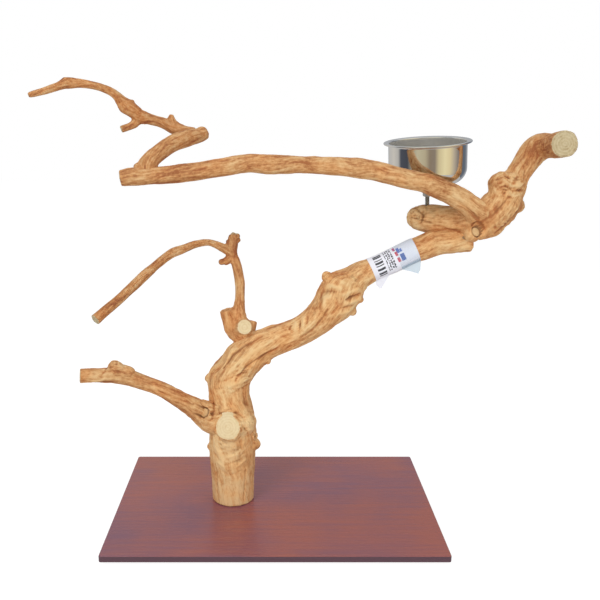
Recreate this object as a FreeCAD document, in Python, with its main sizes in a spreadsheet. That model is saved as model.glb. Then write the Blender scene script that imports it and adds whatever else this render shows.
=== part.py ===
import FreeCAD, Part
import Sketcher
import os
from math import cos, radians, sin

# Parrot play stand: a tree of bark-free coffee-wood limbs on a thin rectangular board, with a steel
# food cup that screws onto a threaded stud. Millimetres, +Z up, +X to the right as the stand is looked
# at, +Y away from the onlooker. The origin is on the table, under the middle of the board.

Vector = FreeCAD.Vector
Rotation = FreeCAD.Rotation
Placement = FreeCAD.Placement
UP = Vector(0, 0, 1)
DOWN = Vector(0, 0, -1)

# Driving dimensions: name, size in millimetres (degrees where it says so), what it is.
SIZES = [
    ("board_width", 450, "board, left to right"),
    ("board_depth", 300, "board, front to back"),
    ("board_thickness", 9, "plywood thickness"),
    ("board_corner_radius", 3, "board corners, seen from above"),
    ("board_edge_round", 1.2, "eased top and bottom edges of the board"),
    ("foot_diameter", 20, "rubber foot where it stands"),
    ("foot_top_diameter", 22, "rubber foot against the board"),
    ("foot_height", 4, "board's underside above the table"),
    ("foot_inset", 28, "foot's centre from the board's edges"),
    ("foot_floor", 2, "rubber between the screw's head and the board"),
    ("foot_screw_shank", 3, "foot screw's thickness"),
    ("foot_screw_head", 6.5, "foot screw's head, across"),
    ("foot_screw_head_height", 1.2, "foot screw's head, high"),
    ("foot_screw_bite", 6, "foot screw's length in the board"),
    ("trunk_left", 61, "trunk's foot left of the board's middle"),
    ("trunk_back", 7, "trunk's foot behind the board's middle"),
    ("trunk_across", 330, "trunk's reach to the right"),
    ("trunk_sway", 20, "trunk's reach back"),
    ("trunk_rise", 378, "trunk's end above the board"),
    ("trunk_girth", 68, "trunk at its thickest"),
    ("trunk_stub_length", 39, "sawn stub on the trunk's front, from the trunk's middle"),
    ("trunk_stub_girth", 40, "sawn stub on the trunk's front, across"),
    ("trunk_screw_circle", 32, "circle of the screws under the trunk"),
    ("trunk_screw_length", 46, "trunk screw under its head"),
    ("low_perch_across", 198, "low perch's reach to the left"),
    ("low_perch_forward", 63, "low perch's reach to the front"),
    ("low_perch_rise", 97, "low perch's rise"),
    ("low_perch_girth", 43, "low perch at its thickest"),
    ("arch_stem_lean", 31, "arch perch's stem, lean to the left"),
    ("arch_stem_back", 17, "arch perch's stem, lean to the back"),
    ("arch_stem_rise", 163, "arch perch's stem above the trunk's middle line"),
    ("arch_stem_girth", 34, "arch perch's root at its thickest"),
    ("arch_arm_across", 166, "arch perch's arm, reach to the left"),
    ("arch_arm_forward", 128, "arch perch's arm, reach to the front"),
    ("arch_arm_drop", 65, "arch perch's arm, tip below its root"),
    ("arch_arm_girth", 13, "arch perch's arm at its thickest"),
    ("arch_stub_length", 29, "sawn stubs around the arch perch's root"),
    ("crown_right", 19, "crown's middle right of the trunk's end"),
    ("crown_forward", 12, "crown's middle in front of the trunk's end"),
    ("crown_rise", 29, "crown's middle above the trunk's end"),
    ("horn_across", 76, "horn's reach to the right"),
    ("horn_forward", 53, "horn's reach to the front"),
    ("horn_rise", 104, "horn's rise"),
    ("horn_girth", 51, "horn at its thickest"),
    ("burl_diameter", 37, "round burl on the crown"),
    ("cup_limb_reach", 101, "cup limb's reach to the left"),
    ("cup_limb_girth", 49, "cup limb at its thickest"),
    ("long_perch_across", 481, "long perch's reach to the left"),
    ("long_perch_forward", 68, "long perch's reach to the front"),
    ("long_perch_rise", 80, "long perch's rise"),
    ("long_perch_girth", 35, "long perch at its thickest"),
    ("zig_perch_reach", 70, "zig perch's reach to the right"),
    ("zig_perch_girth", 26, "zig perch at its thickest"),
    ("tip_perch_reach", 194, "tip perch's reach to the left"),
    ("tip_perch_girth", 19, "tip perch at its thickest"),
    ("knob_diameter", 14, "healed knots on the limbs"),
    ("screw_shank", 5, "wood screw's thickness"),
    ("screw_head", 9.5, "wood screw's head, across"),
    ("screw_head_height", 3.5, "wood screw's head, high"),
    ("screw_length", 30, "limb screw under its head"),
    ("small_screw_shank", 3.5, "small wood screw's thickness"),
    ("small_screw_head", 7, "small wood screw's head, across"),
    ("small_screw_head_height", 2.6, "small wood screw's head, high"),
    ("zig_screw_length", 30, "small screw from the long perch into the zig perch"),
    ("tip_screw_length", 16, "small screw from the tip perch into the zig perch"),
    ("head_web", 9, "wood between a screw's head and the limb it pulls on"),
    ("small_head_sink", 5, "small screw's seat under the limb's surface"),
    ("screw_clearance", 0.05, "gap around a screw in its hole"),
    ("plug_diameter", 12, "wooden plug over a sunk screw"),
    ("plug_length", 12, "wooden plug's length"),
    ("plug_clearance", 0.05, "gap around a plug in its hole"),
    ("stud_diameter", 6.35, "stud's thread, across"),
    ("stud_bite", 26, "stud's length in the cup limb"),
    ("stud_exposed", 12, "stud between the limb and the nut"),
    ("stud_engagement", 9, "thread inside the cup's boss"),
    ("stud_lean_left", 3.3, "stud's lean to the left, degrees"),
    ("stud_lean_forward", 5.6, "stud's lean to the front, degrees"),
    ("thread_clearance", 0.05, "running gap around the stud"),
    ("nut_flats", 11.1, "jam nut, across flats"),
    ("nut_height", 5.5, "jam nut's height"),
    ("nut_chamfer", 1, "jam nut's chamfered corners"),
    ("washer_diameter", 16, "washer, across"),
    ("washer_thickness", 1.4, "washer's thickness"),
    ("boss_diameter", 14, "threaded boss under the cup, across"),
    ("boss_height", 10.5, "threaded boss under the cup, high"),
    ("bowl_diameter", 106, "cup's outside, under its rim"),
    ("bowl_height", 58, "cup's depth outside"),
    ("bowl_wall", 0.9, "sheet steel of the cup"),
    ("bowl_corner_radius", 22, "cup's rounded bottom edge, outside"),
    ("bowl_rim_width", 6.5, "cup's flat rim, beyond its wall"),
    ("bowl_rim_thickness", 2.6, "rolled edge of the cup's rim"),
    ("label_thickness", 0.5, "paper label"),
    ("label_corner_drop", 13, "loose corner of the paper under the limb"),
    ("label_corner_width", 20, "loose corner of the paper, along the limb"),
    ("label_corner_inset", 4, "loose corner of the paper from the label's edge"),
    ("film_thickness", 0.5, "clear film around the label"),
    ("film_length", 30, "clear film's loose end, along the limb"),
    ("film_drop", 16, "clear film's loose end under the limb"),
]

# Lines of the limbs as they grew, from the root outwards. Each row is one round of the limb:
# right, back and up in hundredths of the limb's own reaches, then its thickness in hundredths of its
# girth. Left, forward and down are negative.
TRUNK_LINE = [
    (0, 0, 0, 87),
    (0, 0, 12, 94),
    (0, -10, 22, 100),
    (0, -10, 30, 97),
    (0, -5, 37, 88),
    (-1, 0, 43, 84),
    (-1, 10, 49, 92),
    (4, 15, 55, 82),
    (10, 20, 59.5, 74),
    (18, 25, 63, 64),
    (26, 30, 65.5, 60),
    (36, 35, 70.5, 66),
    (44, 40, 78, 86),
    (48.5, 45, 83.5, 84),
    (53, 50, 87, 64),
    (59, 55, 89.5, 49.5),
    (68, 60, 93, 49),
    (77.5, 65, 97, 49),
    (85, 65, 99.5, 49),
    (94, 65, 100, 47),
    (100, 65, 100, 41),
]
LOW_PERCH_LINE = [
    (0, 0, 0, 98),
    (-17, -24, 21, 94),
    (-27, -36, 36, 65),
    (-38, -49, 55, 53),
    (-46, -59, 67, 49),
    (-61, -71, 83, 46),
    (-72, -81, 94, 49),
    (-84, -89, 97, 42),
    (-100, -100, 100, 39),
]
ARCH_STEM_LINE = [
    (0, 0, 0, 76),
    (-45, 40, 9, 90),
    (-68, 59, 18, 100),
    (-74, 65, 30, 61),
    (-68, 76, 45, 41),
    (-68, 88, 57, 41),
    (-81, 100, 72, 40),
    (-99, 100, 84, 38),
    (-94, 98, 93, 37),
    (-92, 94, 100, 26),
]
ARCH_ARM_LINE = [
    (0, 0, -5, 92),
    (-5, -2, 5, 97),
    (-10, -5, 14, 89),
    (-18, -9, 23, 73),
    (-29, -17, 23, 79),
    (-39, -26, 15, 89),
    (-47, -33, 9, 97),
    (-58, -44, -10, 89),
    (-67, -55, -29, 98),
    (-83, -77, -65, 87),
    (-100, -100, -100, 100),
]
HORN_LINE = [
    (-8, 0, -5, 88),
    (7, 0, 10, 100),
    (25, 0, 24, 98),
    (32, 2, 40, 82),
    (48.5, 8, 62, 55),
    (71, 19, 85, 59),
    (89, 17, 94, 62),
    (97, -9, 97, 62),
    (99, -53, 98, 65),
    (100, -100, 100, 67),
]
CUP_LIMB_LINE = [
    (0, 0, 0, 98),
    (-22, 10, -1.5, 88),
    (-47, 24, -1.5, 82),
    (-73.5, 37.5, 0, 80),
    (-86, 42, 0, 69),
    (-95.5, 44, -1, 49),
    (-100, 45, -1.5, 23),
]
LONG_PERCH_LINE = [
    (0, -6, 1, 100),
    (-4, -16, 19, 94),
    (-9, -29, 40, 83),
    (-14, -41, 55, 79),
    (-18.5, -53, 66, 73),
    (-27, -65, 78, 70),
    (-36, -71, 91, 73),
    (-45, -74, 96, 66),
    (-53, -76, 98, 61),
    (-61, -80, 98, 70),
    (-67, -82, 100, 67),
    (-74, -85, 94, 66),
    (-83, -90, 86, 66),
    (-93, -95, 81, 62),
    (-97.5, -99, 80, 63),
    (-100, -100, 78, 59),
]
ZIG_PERCH_LINE = [
    (0, 0, 0, 100),
    (4, 7, 26, 88),
    (17, 19, 39, 81),
    (43, 44, 57, 83),
    (70, 70, 67, 84),
    (90, 87, 70.5, 65),
    (100, 94, 72, 40),
]
TIP_PERCH_LINE = [
    (3, 6, 4, 52),
    (-4, 6, 4, 77),
    (-11, 6, 6, 88),
    (-19, 4, 9.5, 74),
    (-27, 2, 12, 74),
    (-34.5, 0, 15, 90),
    (-40, -2, 19.5, 100),
    (-44.5, -4, 24, 70),
    (-49, -6, 28.5, 56),
    (-55.5, -9, 31.5, 51),
    (-63.5, -11.5, 33.5, 52),
    (-73, -14.5, 34.5, 60),
    (-78, -16, 34.5, 67),
    (-84, -17.5, 31.5, 54),
    (-91, -19.5, 29, 46),
    (-98, -21.5, 27, 39),
    (-100, -22, 26.5, 30),
]

# Short growths, in hundredths of the length that each is given, as above.
TRUNK_STUB_LINE = [(0, 0, 0, 100), (-6, -60, 18, 98), (-10, -100, 34, 92)]
LEFT_STUB_LINE = [(0, 0, 0, 65), (-38, -3, 50, 50), (-63, -7, 100, 40)]
FRONT_STUB_LINE = [(12, 0, 0, 68), (18, -50, 18, 64), (26, -100, 32, 61)]
BACK_STUB_LINE = [(10, 10, -20, 52), (45, 30, 15, 40), (60, 45, 50, 30)]
HOOK_LINE = [(0, 0, -5, 24), (-38, -7, -32, 21), (-60, -14, -51, 19)]
PRONG_LINE = [(0, 0, 0, 28), (-15, -3, 30, 22), (-22, -7, 60, 19)]
TIP_STUB_LINE = [(1, 0, -1, 48), (-4.5, -2, -6, 36), (-10.5, -4, -8.5, 37)]
SPIKE_LINE = [(-1, 0, 2, 68), (-0.8, 0, 6, 38), (-0.5, 0, 9.5, 14)]

# Healed knots: round of the limb, then right, back and up from its middle in hundredths of its radius,
# then the knot's own size in hundredths of the usual knob.
TRUNK_KNOBS = [
    (2, 88, -15, 47, 85),
    (2, 93, -15, 2, 85),
    (2, -92, -15, 3, 85),
    (6, -88, -10, 0, 110),
    (8, 70, -42, -48, 80),
    (12, 84, -24, -45, 100),
    (13, 65, -28, -60, 85),
    (13, -86, -14, 45, 90),
]
LOW_PERCH_KNOBS = [(6, -70, -38, 118, 170)]
HORN_KNOBS = [(2, 68, 0, -16, 140)]
CUP_LIMB_KNOBS = [(0, -50, -37, -37, 210)]

# Directions in which the plugs face: right, back and up.
LOW_PERCH_PLUG_SIDE = Vector(-36, -29, 31).normalize()
ARCH_PERCH_PLUG_SIDE = Vector(-24, 27, 42).normalize()
CROWN_PLUG_SIDE = Vector(20, -34, 19).normalize()

# Rounds of a limb that carry another piece, counted from its root.
TRUNK_STUB_ROUND = 3
LOW_PERCH_ROUND = 3
ARCH_ROUND = 8
ARCH_BURL_ROUND = 2
ARM_ROUND = 7
CROWN_SCREW_ROUND = 19
CUP_ROUND = 3
ZIG_ROUND = 13
TIP_ROUND = 4
TIP_SCREW_ROUND = 1
LABEL_FIRST_ROUND = 15
LABEL_LAST_ROUND = 17

doc = FreeCAD.newDocument("parrot_play_stand")
sheet = doc.addObject("Spreadsheet::Sheet", "Sizes")
nodes = []


def write_sizes():
    for row, (alias, number, meaning) in enumerate(SIZES, start=1):
        sheet.set(f"A{row}", alias)
        sheet.set(f"B{row}", str(number))
        sheet.setAlias(f"B{row}", alias)
        sheet.set(f"C{row}", meaning)
    doc.recompute()


def value(formula):
    """Number that a formula on the sheet gives, such as Sizes.stud_diameter / 2."""
    return float(sheet.evalExpression(str(formula)))


def size(alias):
    return value(f"Sizes.{alias}")


def node(piece, label):
    """Keep a finished piece as one sub-part, under the name that its file takes."""
    piece.Label = label
    nodes.append(piece)
    return piece


def bind(piece, formulas):
    for name, formula in formulas.items():
        piece.setExpression(name, formula)
    return piece


def origin_plane(body, role):
    return next(plane for plane in body.Origin.OriginFeatures if plane.Role == role)


def closed_sketch(body, name, role, outline):
    """Closed outline of straight sides on a body's origin plane; its corners are pairs of formulas."""
    sketch = body.newObject("Sketcher::SketchObject", name)
    sketch.AttachmentSupport = [(origin_plane(body, role), "")]
    sketch.MapMode = "FlatFace"
    corners = [Vector(value(across), value(along), 0) for across, along in outline]
    count = len(corners)
    for i in range(count):
        sketch.addGeometry(Part.LineSegment(corners[i], corners[(i + 1) % count]), False)
    for i in range(count):
        sketch.addConstraint(Sketcher.Constraint("Coincident", i, 2, (i + 1) % count, 1))
    for i, formulas in enumerate(outline):
        for kind, formula, measure in zip(("DistanceX", "DistanceY"), formulas, corners[i]):
            index = sketch.addConstraint(Sketcher.Constraint(kind, -1, 1, i, 1, measure))
            if formula != "0":
                sketch.setExpression(f"Constraints[{index}]", formula)
    return sketch


def circles_sketch(body, name, centres, diameter):
    """Equal circles on a body's underside; each centre is a pair of formulas."""
    sketch = body.newObject("Sketcher::SketchObject", name)
    sketch.AttachmentSupport = [(origin_plane(body, "XY_Plane"), "")]
    sketch.MapMode = "FlatFace"
    for i, formulas in enumerate(centres):
        centre = Vector(value(formulas[0]), value(formulas[1]), 0)
        sketch.addGeometry(Part.Circle(centre, UP, value(diameter) / 2), False)
        for kind, formula, measure in zip(("DistanceX", "DistanceY"), formulas, centre):
            index = sketch.addConstraint(Sketcher.Constraint(kind, -1, 1, i, 3, measure))
            sketch.setExpression(f"Constraints[{index}]", formula)
        index = sketch.addConstraint(Sketcher.Constraint("Diameter", i, value(diameter)))
        sketch.setExpression(f"Constraints[{index}]", diameter)
    return sketch


def turned(name, outline, place=Placement()):
    """Piece turned about its own Z axis; its outline is (radius, height) pairs of formulas."""
    body = doc.addObject("PartDesign::Body", name)
    sketch = closed_sketch(body, name + "_outline", "XZ_Plane", outline)
    spin = body.newObject("PartDesign::Revolution", name + "_turning")
    spin.Profile = sketch
    spin.ReferenceAxis = (sketch, ["V_Axis"])
    spin.Angle = 360
    body.Placement = place
    doc.recompute()
    return body


def round_edges(body, name, radius, chosen):
    """Fillet those edges of a body's last feature for which chosen(edge) holds."""
    base = body.Tip
    edges = [f"Edge{i}" for i, edge in enumerate(base.Shape.Edges, start=1) if chosen(edge)]
    fillet = body.newObject("PartDesign::Fillet", name)
    fillet.Base = (base, edges)
    fillet.setExpression("Radius", radius)
    doc.recompute()
    return fillet


def cylinder(name, radius, height, place=Placement()):
    piece = doc.addObject("Part::Cylinder", name)
    piece.Placement = place
    return bind(piece, {"Radius": radius, "Height": height})


def knob(name, centre, radius):
    piece = doc.addObject("Part::Sphere", name)
    piece.Placement.Base = centre
    return bind(piece, {"Radius": radius})


def knobs_on(limb, rows):
    """Healed knots of a limb, from rows of round, place on it and size."""
    pieces = []
    for i, (ring, right, back, up, share) in enumerate(rows):
        centre = limb.points[ring] + Vector(right, back, up) * (limb.radius(ring) / 100)
        pieces.append(knob(f"{limb.name}_knob_{i}", centre, f"Sizes.knob_diameter * {share} / 200"))
    return pieces


def fused(name, pieces):
    whole = doc.addObject("Part::MultiFuse", name)
    whole.Shapes = pieces
    doc.recompute()
    return whole


def cut(name, base, tool):
    left = doc.addObject("Part::Cut", name)
    left.Base = base
    left.Tool = tool
    doc.recompute()
    return left


def cut_all(name, base, tools):
    for i, tool in enumerate(tools):
        base = cut(f"{name}_{i}", base, tool)
    return base


def aimed(point, direction):
    """Placement at a point, with Z turned to a direction."""
    return Placement(point, Rotation(UP, direction))


class Limb:
    """Straight-sided loft through the rounds of a grown limb; keeps each round's middle and turn."""

    def __init__(self, name, root, reaches, girth, line):
        self.name = name
        self.girth = girth
        self.shares = [row[3] for row in line]
        offsets = [Vector(*(size(reach) * share / 100 for reach, share in zip(reaches, row))) for row in line]
        self.points = [root + offset for offset in offsets]
        self.turns = self.round_turns(offsets)
        rounds = []
        for i, row in enumerate(line):
            ring = doc.addObject("Part::Circle", f"{name}_round_{i}")
            ring.Placement = Placement(offsets[i], self.turns[i])
            ring.setExpression("Radius", self.radius_formula(i))
            for coordinate, reach, share in zip("xyz", reaches, row):
                ring.setExpression(f"Placement.Base.{coordinate}", f"Sizes.{reach} * {share} / 100")
            rounds.append(ring)
        self.piece = doc.addObject("Part::Loft", name + "_grown")
        self.piece.Sections = rounds
        self.piece.Solid = True
        self.piece.Ruled = True
        self.piece.Placement.Base = root
        doc.recompute()

    @staticmethod
    def round_turns(offsets):
        """Turn of each round, square to the line there and with as little twist as can be."""
        last = len(offsets) - 1
        turns = []
        heading = UP
        turn = Rotation()
        for i in range(last + 1):
            direction = offsets[min(i + 1, last)] - offsets[max(i - 1, 0)]
            turn = Rotation(heading, direction).multiply(turn)
            heading = direction
            turns.append(turn)
        return turns

    def radius_formula(self, i):
        return f"Sizes.{self.girth} * {self.shares[i]} / 200"

    def radius(self, i):
        return value(self.radius_formula(i))


def wood_screw(name, kind, length, seat, direction):
    """Flat-seated wood screw: kind is the first word of its sizes, seat the middle of its head's seat."""
    shank = f"Sizes.{kind}_shank / 2"
    head = f"Sizes.{kind}_head / 2"
    top = f"{length} + Sizes.{kind}_head_height"
    outline = [
        ("0", "0"), (shank, f"Sizes.{kind}_shank"), (shank, length), (head, length), (head, top), ("0", top),
    ]
    tip = seat + direction * value(length)
    return turned(name, outline, aimed(tip, direction * -1))


def screw_bore(name, kind, length, seat, direction, pocket):
    """Hole for a wood screw, with a wider pocket over its head."""
    shank = f"Sizes.{kind}_shank / 2 + Sizes.screw_clearance"
    top = f"{length} + Sizes.trunk_girth"
    outline = [("0", "0"), (shank, "0"), (shank, length), (pocket, length), (pocket, top), ("0", top)]
    tip = seat + direction * value(length)
    return turned(name + "_bore", outline, aimed(tip, direction * -1))


def plugged_screw(name, seat, direction):
    """Wood screw under a wooden plug: returns its bore, and keeps the screw and the plug."""
    pocket = "Sizes.plug_diameter / 2 + Sizes.plug_clearance"
    node(wood_screw(name + "_screw", "screw", "Sizes.screw_length", seat, direction), name + "_screw")
    under_plug = seat - direction * size("screw_head_height")
    outline = [
        ("0", "0"), ("Sizes.plug_diameter / 2", "0"),
        ("Sizes.plug_diameter / 2", "Sizes.plug_length"), ("0", "Sizes.plug_length"),
    ]
    node(turned(name + "_plug", outline, aimed(under_plug, direction * -1)), name + "_plug")
    return screw_bore(name, "screw", "Sizes.screw_length", seat, direction, pocket)


def small_screw(name, length, seat, direction):
    """Small wood screw sunk in its limb: returns its bore, and keeps the screw."""
    pocket = "Sizes.small_screw_head / 2 + Sizes.plug_clearance"
    node(wood_screw(name + "_screw", "small_screw", length, seat, direction), name + "_screw")
    return screw_bore(name, "small_screw", length, seat, direction, pocket)


# Where the feet's and the trunk's screws stand, as formulas on the board.
foot_across = "(Sizes.board_width / 2 - Sizes.foot_inset)"
foot_along = "(Sizes.board_depth / 2 - Sizes.foot_inset)"
FOOT_PLACES = [(f"{x} * {foot_across}", f"{y} * {foot_along}") for x in (-1, 1) for y in (-1, 1)]
TRUNK_SCREW_ANGLES = (90, 210, 330)
TRUNK_SCREW_PLACES = [
    (
        f"-Sizes.trunk_left + Sizes.trunk_screw_circle / 2 * cos({angle} deg)",
        f"Sizes.trunk_back + Sizes.trunk_screw_circle / 2 * sin({angle} deg)",
    )
    for angle in TRUNK_SCREW_ANGLES
]


def build_board():
    """Plywood board, with sunk holes for the trunk's screws and pilot holes for the feet's."""
    body = doc.addObject("PartDesign::Body", "base_board_body")
    half_width = "Sizes.board_width / 2"
    half_depth = "Sizes.board_depth / 2"
    outline = [
        (f"-{half_width}", f"-{half_depth}"), (half_width, f"-{half_depth}"),
        (half_width, half_depth), (f"-{half_width}", half_depth),
    ]
    pad = body.newObject("PartDesign::Pad", "board_blank")
    pad.Profile = closed_sketch(body, "board_outline", "XY_Plane", outline)
    pad.setExpression("Length", "Sizes.board_thickness")
    doc.recompute()
    thickness = size("board_thickness")

    def upright(edge):
        return abs(edge.BoundBox.ZLength - thickness) < 1e-6

    def level(edge):
        return edge.BoundBox.ZLength < 1e-6

    round_edges(body, "board_corners", "Sizes.board_corner_radius", upright)
    round_edges(body, "board_eased_edges", "Sizes.board_edge_round", level)
    holes = [
        ("trunk_screw_holes", TRUNK_SCREW_PLACES, "Sizes.screw_shank + 2 * Sizes.screw_clearance",
         "Sizes.board_thickness"),
        ("trunk_screw_heads", TRUNK_SCREW_PLACES, "Sizes.screw_head + 2 * Sizes.plug_clearance",
         "Sizes.screw_head_height"),
        ("foot_screw_holes", FOOT_PLACES, "Sizes.foot_screw_shank + 2 * Sizes.screw_clearance",
         "Sizes.foot_screw_bite"),
    ]
    for name, places, diameter, depth in holes:
        before = body.Shape.Volume
        pocket = body.newObject("PartDesign::Pocket", name)
        pocket.Profile = circles_sketch(body, name + "_places", places, diameter)
        pocket.Reversed = True
        pocket.setExpression("Length", depth)
        doc.recompute()
        if body.Shape.Volume >= before:
            raise RuntimeError(f"{name} cut nothing")
    body.Placement.Base = Vector(0, 0, size("foot_height"))
    return node(body, "base_board")


def foot_piece(index, x, y):
    """One rubber foot, hollowed from below for its screw's head."""
    cone = doc.addObject("Part::Cone", f"foot_{index}")
    bind(cone, {
        "Radius1": "Sizes.foot_diameter / 2",
        "Radius2": "Sizes.foot_top_diameter / 2",
        "Height": "Sizes.foot_height",
    })
    recess = cylinder(
        f"foot_{index}_recess",
        "Sizes.foot_screw_head / 2 + 1",
        "Sizes.foot_height - Sizes.foot_floor",
    )
    hole = cylinder(f"foot_{index}_hole", "Sizes.foot_screw_shank / 2", "Sizes.foot_height")
    foot = cut_all(f"foot_{index}_body", cone, [recess, hole])
    foot.Placement.Base = Vector(x, y, 0)
    return foot


def build_feet():
    """Four rubber feet and the pan-head screws that hold them."""
    feet = []
    screws = []
    seat = size("foot_height") - size("foot_floor")
    bite = "Sizes.foot_floor + Sizes.foot_screw_bite"
    for index, place in enumerate(FOOT_PLACES):
        x, y = value(place[0]), value(place[1])
        feet.append(foot_piece(index, x, y))
        screws.append(wood_screw(f"foot_screw_{index}", "foot_screw", bite, Vector(x, y, seat), UP))
    for label, pieces in (("rubber_feet", feet), ("foot_screws", screws)):
        group = doc.addObject("Part::Compound", label + "_group")
        group.Links = pieces
        node(group, label)
    doc.recompute()


def build_trunk():
    """Leaning trunk, its sawn foot flat on the board, its knobs and its screws' holes."""
    foot = Vector(-size("trunk_left"), size("trunk_back"), size("foot_height") + size("board_thickness"))
    trunk = Limb("trunk", foot, ("trunk_across", "trunk_sway", "trunk_rise"), "trunk_girth", TRUNK_LINE)
    stub_reaches = ("trunk_stub_length",) * 3
    stub = Limb("trunk_stub", trunk.points[TRUNK_STUB_ROUND], stub_reaches, "trunk_stub_girth", TRUNK_STUB_LINE)
    trunk.solid = fused("trunk_wood", [trunk.piece, stub.piece] + knobs_on(trunk, TRUNK_KNOBS))
    screws = []
    bores = []
    seat_height = size("foot_height") + size("screw_head_height")
    for index, place in enumerate(TRUNK_SCREW_PLACES):
        seat = Vector(value(place[0]), value(place[1]), seat_height)
        length = "Sizes.trunk_screw_length"
        screws.append(wood_screw(f"trunk_screw_{index}", "screw", length, seat, UP))
        bores.append(cylinder(
            f"trunk_screw_{index}_bore",
            "Sizes.screw_shank / 2 + Sizes.screw_clearance",
            length,
            Placement(seat, Rotation()),
        ))
    group = doc.addObject("Part::Compound", "trunk_screws_group")
    group.Links = screws
    node(group, "trunk_screws")
    trunk.bores = bores
    return trunk


def build_low_perch(trunk):
    """Low perch, coped onto the trunk and held by one screw under a plug."""
    root = trunk.points[LOW_PERCH_ROUND]
    reaches = ("low_perch_across", "low_perch_forward", "low_perch_rise")
    perch = Limb("low_perch", root, reaches, "low_perch_girth", LOW_PERCH_LINE)
    whole = fused("low_perch_wood", [perch.piece] + knobs_on(perch, LOW_PERCH_KNOBS))
    seat = root + LOW_PERCH_PLUG_SIDE * (trunk.radius(LOW_PERCH_ROUND) + size("head_web"))
    bore = plugged_screw("low_perch", seat, LOW_PERCH_PLUG_SIDE * -1)
    node(cut_all("low_perch_coped", whole, [trunk.solid, bore]), "low_perch")
    trunk.bores.append(bore)


def build_arch_perch(trunk):
    """Arch perch: a stem with sawn stubs at its root, and a thin arm that arches to the front."""
    root = trunk.points[ARCH_ROUND]
    stem_reaches = ("arch_stem_lean", "arch_stem_back", "arch_stem_rise")
    stem = Limb("arch_stem", root, stem_reaches, "arch_stem_girth", ARCH_STEM_LINE)
    arm_reaches = ("arch_arm_across", "arch_arm_forward", "arch_arm_drop")
    arm = Limb("arch_arm", stem.points[ARM_ROUND], arm_reaches, "arch_arm_girth", ARCH_ARM_LINE)
    stub_reaches = ("arch_stub_length",) * 3
    burl = stem.points[ARCH_BURL_ROUND]
    fork = stem.points[ARM_ROUND]
    stubs = [
        Limb("arch_left_stub", burl, stub_reaches, "arch_stem_girth", LEFT_STUB_LINE),
        Limb("arch_front_stub", burl, stub_reaches, "arch_stem_girth", FRONT_STUB_LINE),
        Limb("arch_back_stub", burl, stub_reaches, "arch_stem_girth", BACK_STUB_LINE),
        Limb("arch_hook", fork, stub_reaches, "arch_stem_girth", HOOK_LINE),
        Limb("arch_prong", fork, stub_reaches, "arch_stem_girth", PRONG_LINE),
    ]
    whole = fused("arch_wood", [stem.piece, arm.piece] + [stub.piece for stub in stubs])
    seat = root + ARCH_PERCH_PLUG_SIDE * (trunk.radius(ARCH_ROUND) + size("head_web"))
    bore = plugged_screw("arch_perch", seat, ARCH_PERCH_PLUG_SIDE * -1)
    node(cut_all("arch_coped", whole, [trunk.solid, bore]), "arch_perch")
    trunk.bores.append(bore)


def build_crown(trunk):
    """Crown: one natural fork of horn, cup limb and long perch, coped over the trunk's end."""
    middle = trunk.points[-1] + Vector(size("crown_right"), -size("crown_forward"), size("crown_rise"))
    horn = Limb("horn", middle, ("horn_across", "horn_forward", "horn_rise"), "horn_girth", HORN_LINE)
    cup_limb = Limb("cup_limb", middle, ("cup_limb_reach",) * 3, "cup_limb_girth", CUP_LIMB_LINE)
    long_reaches = ("long_perch_across", "long_perch_forward", "long_perch_rise")
    long_perch = Limb("long_perch", middle, long_reaches, "long_perch_girth", LONG_PERCH_LINE)
    burl = knob("crown_burl", horn.points[3] + Vector(-10, -5, 7), "Sizes.burl_diameter / 2")
    knobs = knobs_on(horn, HORN_KNOBS) + knobs_on(cup_limb, CUP_LIMB_KNOBS)
    whole = fused("crown_wood", [horn.piece, cup_limb.piece, long_perch.piece, burl] + knobs)
    root = trunk.points[CROWN_SCREW_ROUND]
    seat = root + CROWN_PLUG_SIDE * (trunk.radius(CROWN_SCREW_ROUND) + size("head_web"))
    bore = plugged_screw("crown", seat, CROWN_PLUG_SIDE * -1)
    trunk.bores.append(bore)
    crown = cut_all("crown_coped", whole, [trunk.solid, bore])
    return crown, cup_limb, long_perch


def build_zig_and_tip(long_perch):
    """Zig perch on the long perch's end, and the thin tip perch behind it, each on one small screw."""
    zig_reaches = ("zig_perch_reach",) * 3
    zig = Limb("zig_perch", long_perch.points[ZIG_ROUND], zig_reaches, "zig_perch_girth", ZIG_PERCH_LINE)
    tip_reaches = ("tip_perch_reach",) * 3
    tip = Limb("tip_perch", zig.points[TIP_ROUND], tip_reaches, "tip_perch_girth", TIP_PERCH_LINE)
    stub = Limb("tip_stub", tip.points[5], tip_reaches, "tip_perch_girth", TIP_STUB_LINE)
    spike = Limb("tip_spike", tip.points[2], tip_reaches, "tip_perch_girth", SPIKE_LINE)
    tip_whole = fused("tip_perch_wood", [tip.piece, stub.piece, spike.piece])

    up_the_zig = (zig.points[1] - zig.points[0]).normalize()
    sink = long_perch.radius(ZIG_ROUND) - size("small_head_sink")
    zig_bore = small_screw("zig_perch", "Sizes.zig_screw_length", zig.points[0] - up_the_zig * sink, up_the_zig)

    to_zig = (zig.points[TIP_ROUND] - tip.points[TIP_SCREW_ROUND]).normalize()
    sink = tip.radius(TIP_SCREW_ROUND) - size("small_head_sink")
    seat = tip.points[TIP_SCREW_ROUND] - to_zig * sink
    tip_bore = small_screw("tip_perch", "Sizes.tip_screw_length", seat, to_zig)

    zig_bores = [long_perch.piece, zig_bore, tip_bore]
    node(cut_all("zig_perch_coped", zig.piece, zig_bores), "zig_perch")
    node(cut_all("tip_perch_coped", tip_whole, [zig.piece, tip_bore]), "tip_perch")
    return zig_bore


def stud_axis():
    """Direction in which the stud leaves the cup limb."""
    left = radians(size("stud_lean_left"))
    forward = radians(size("stud_lean_forward"))
    return Vector(-sin(left), -sin(forward) * cos(left), cos(forward) * cos(left))


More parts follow.
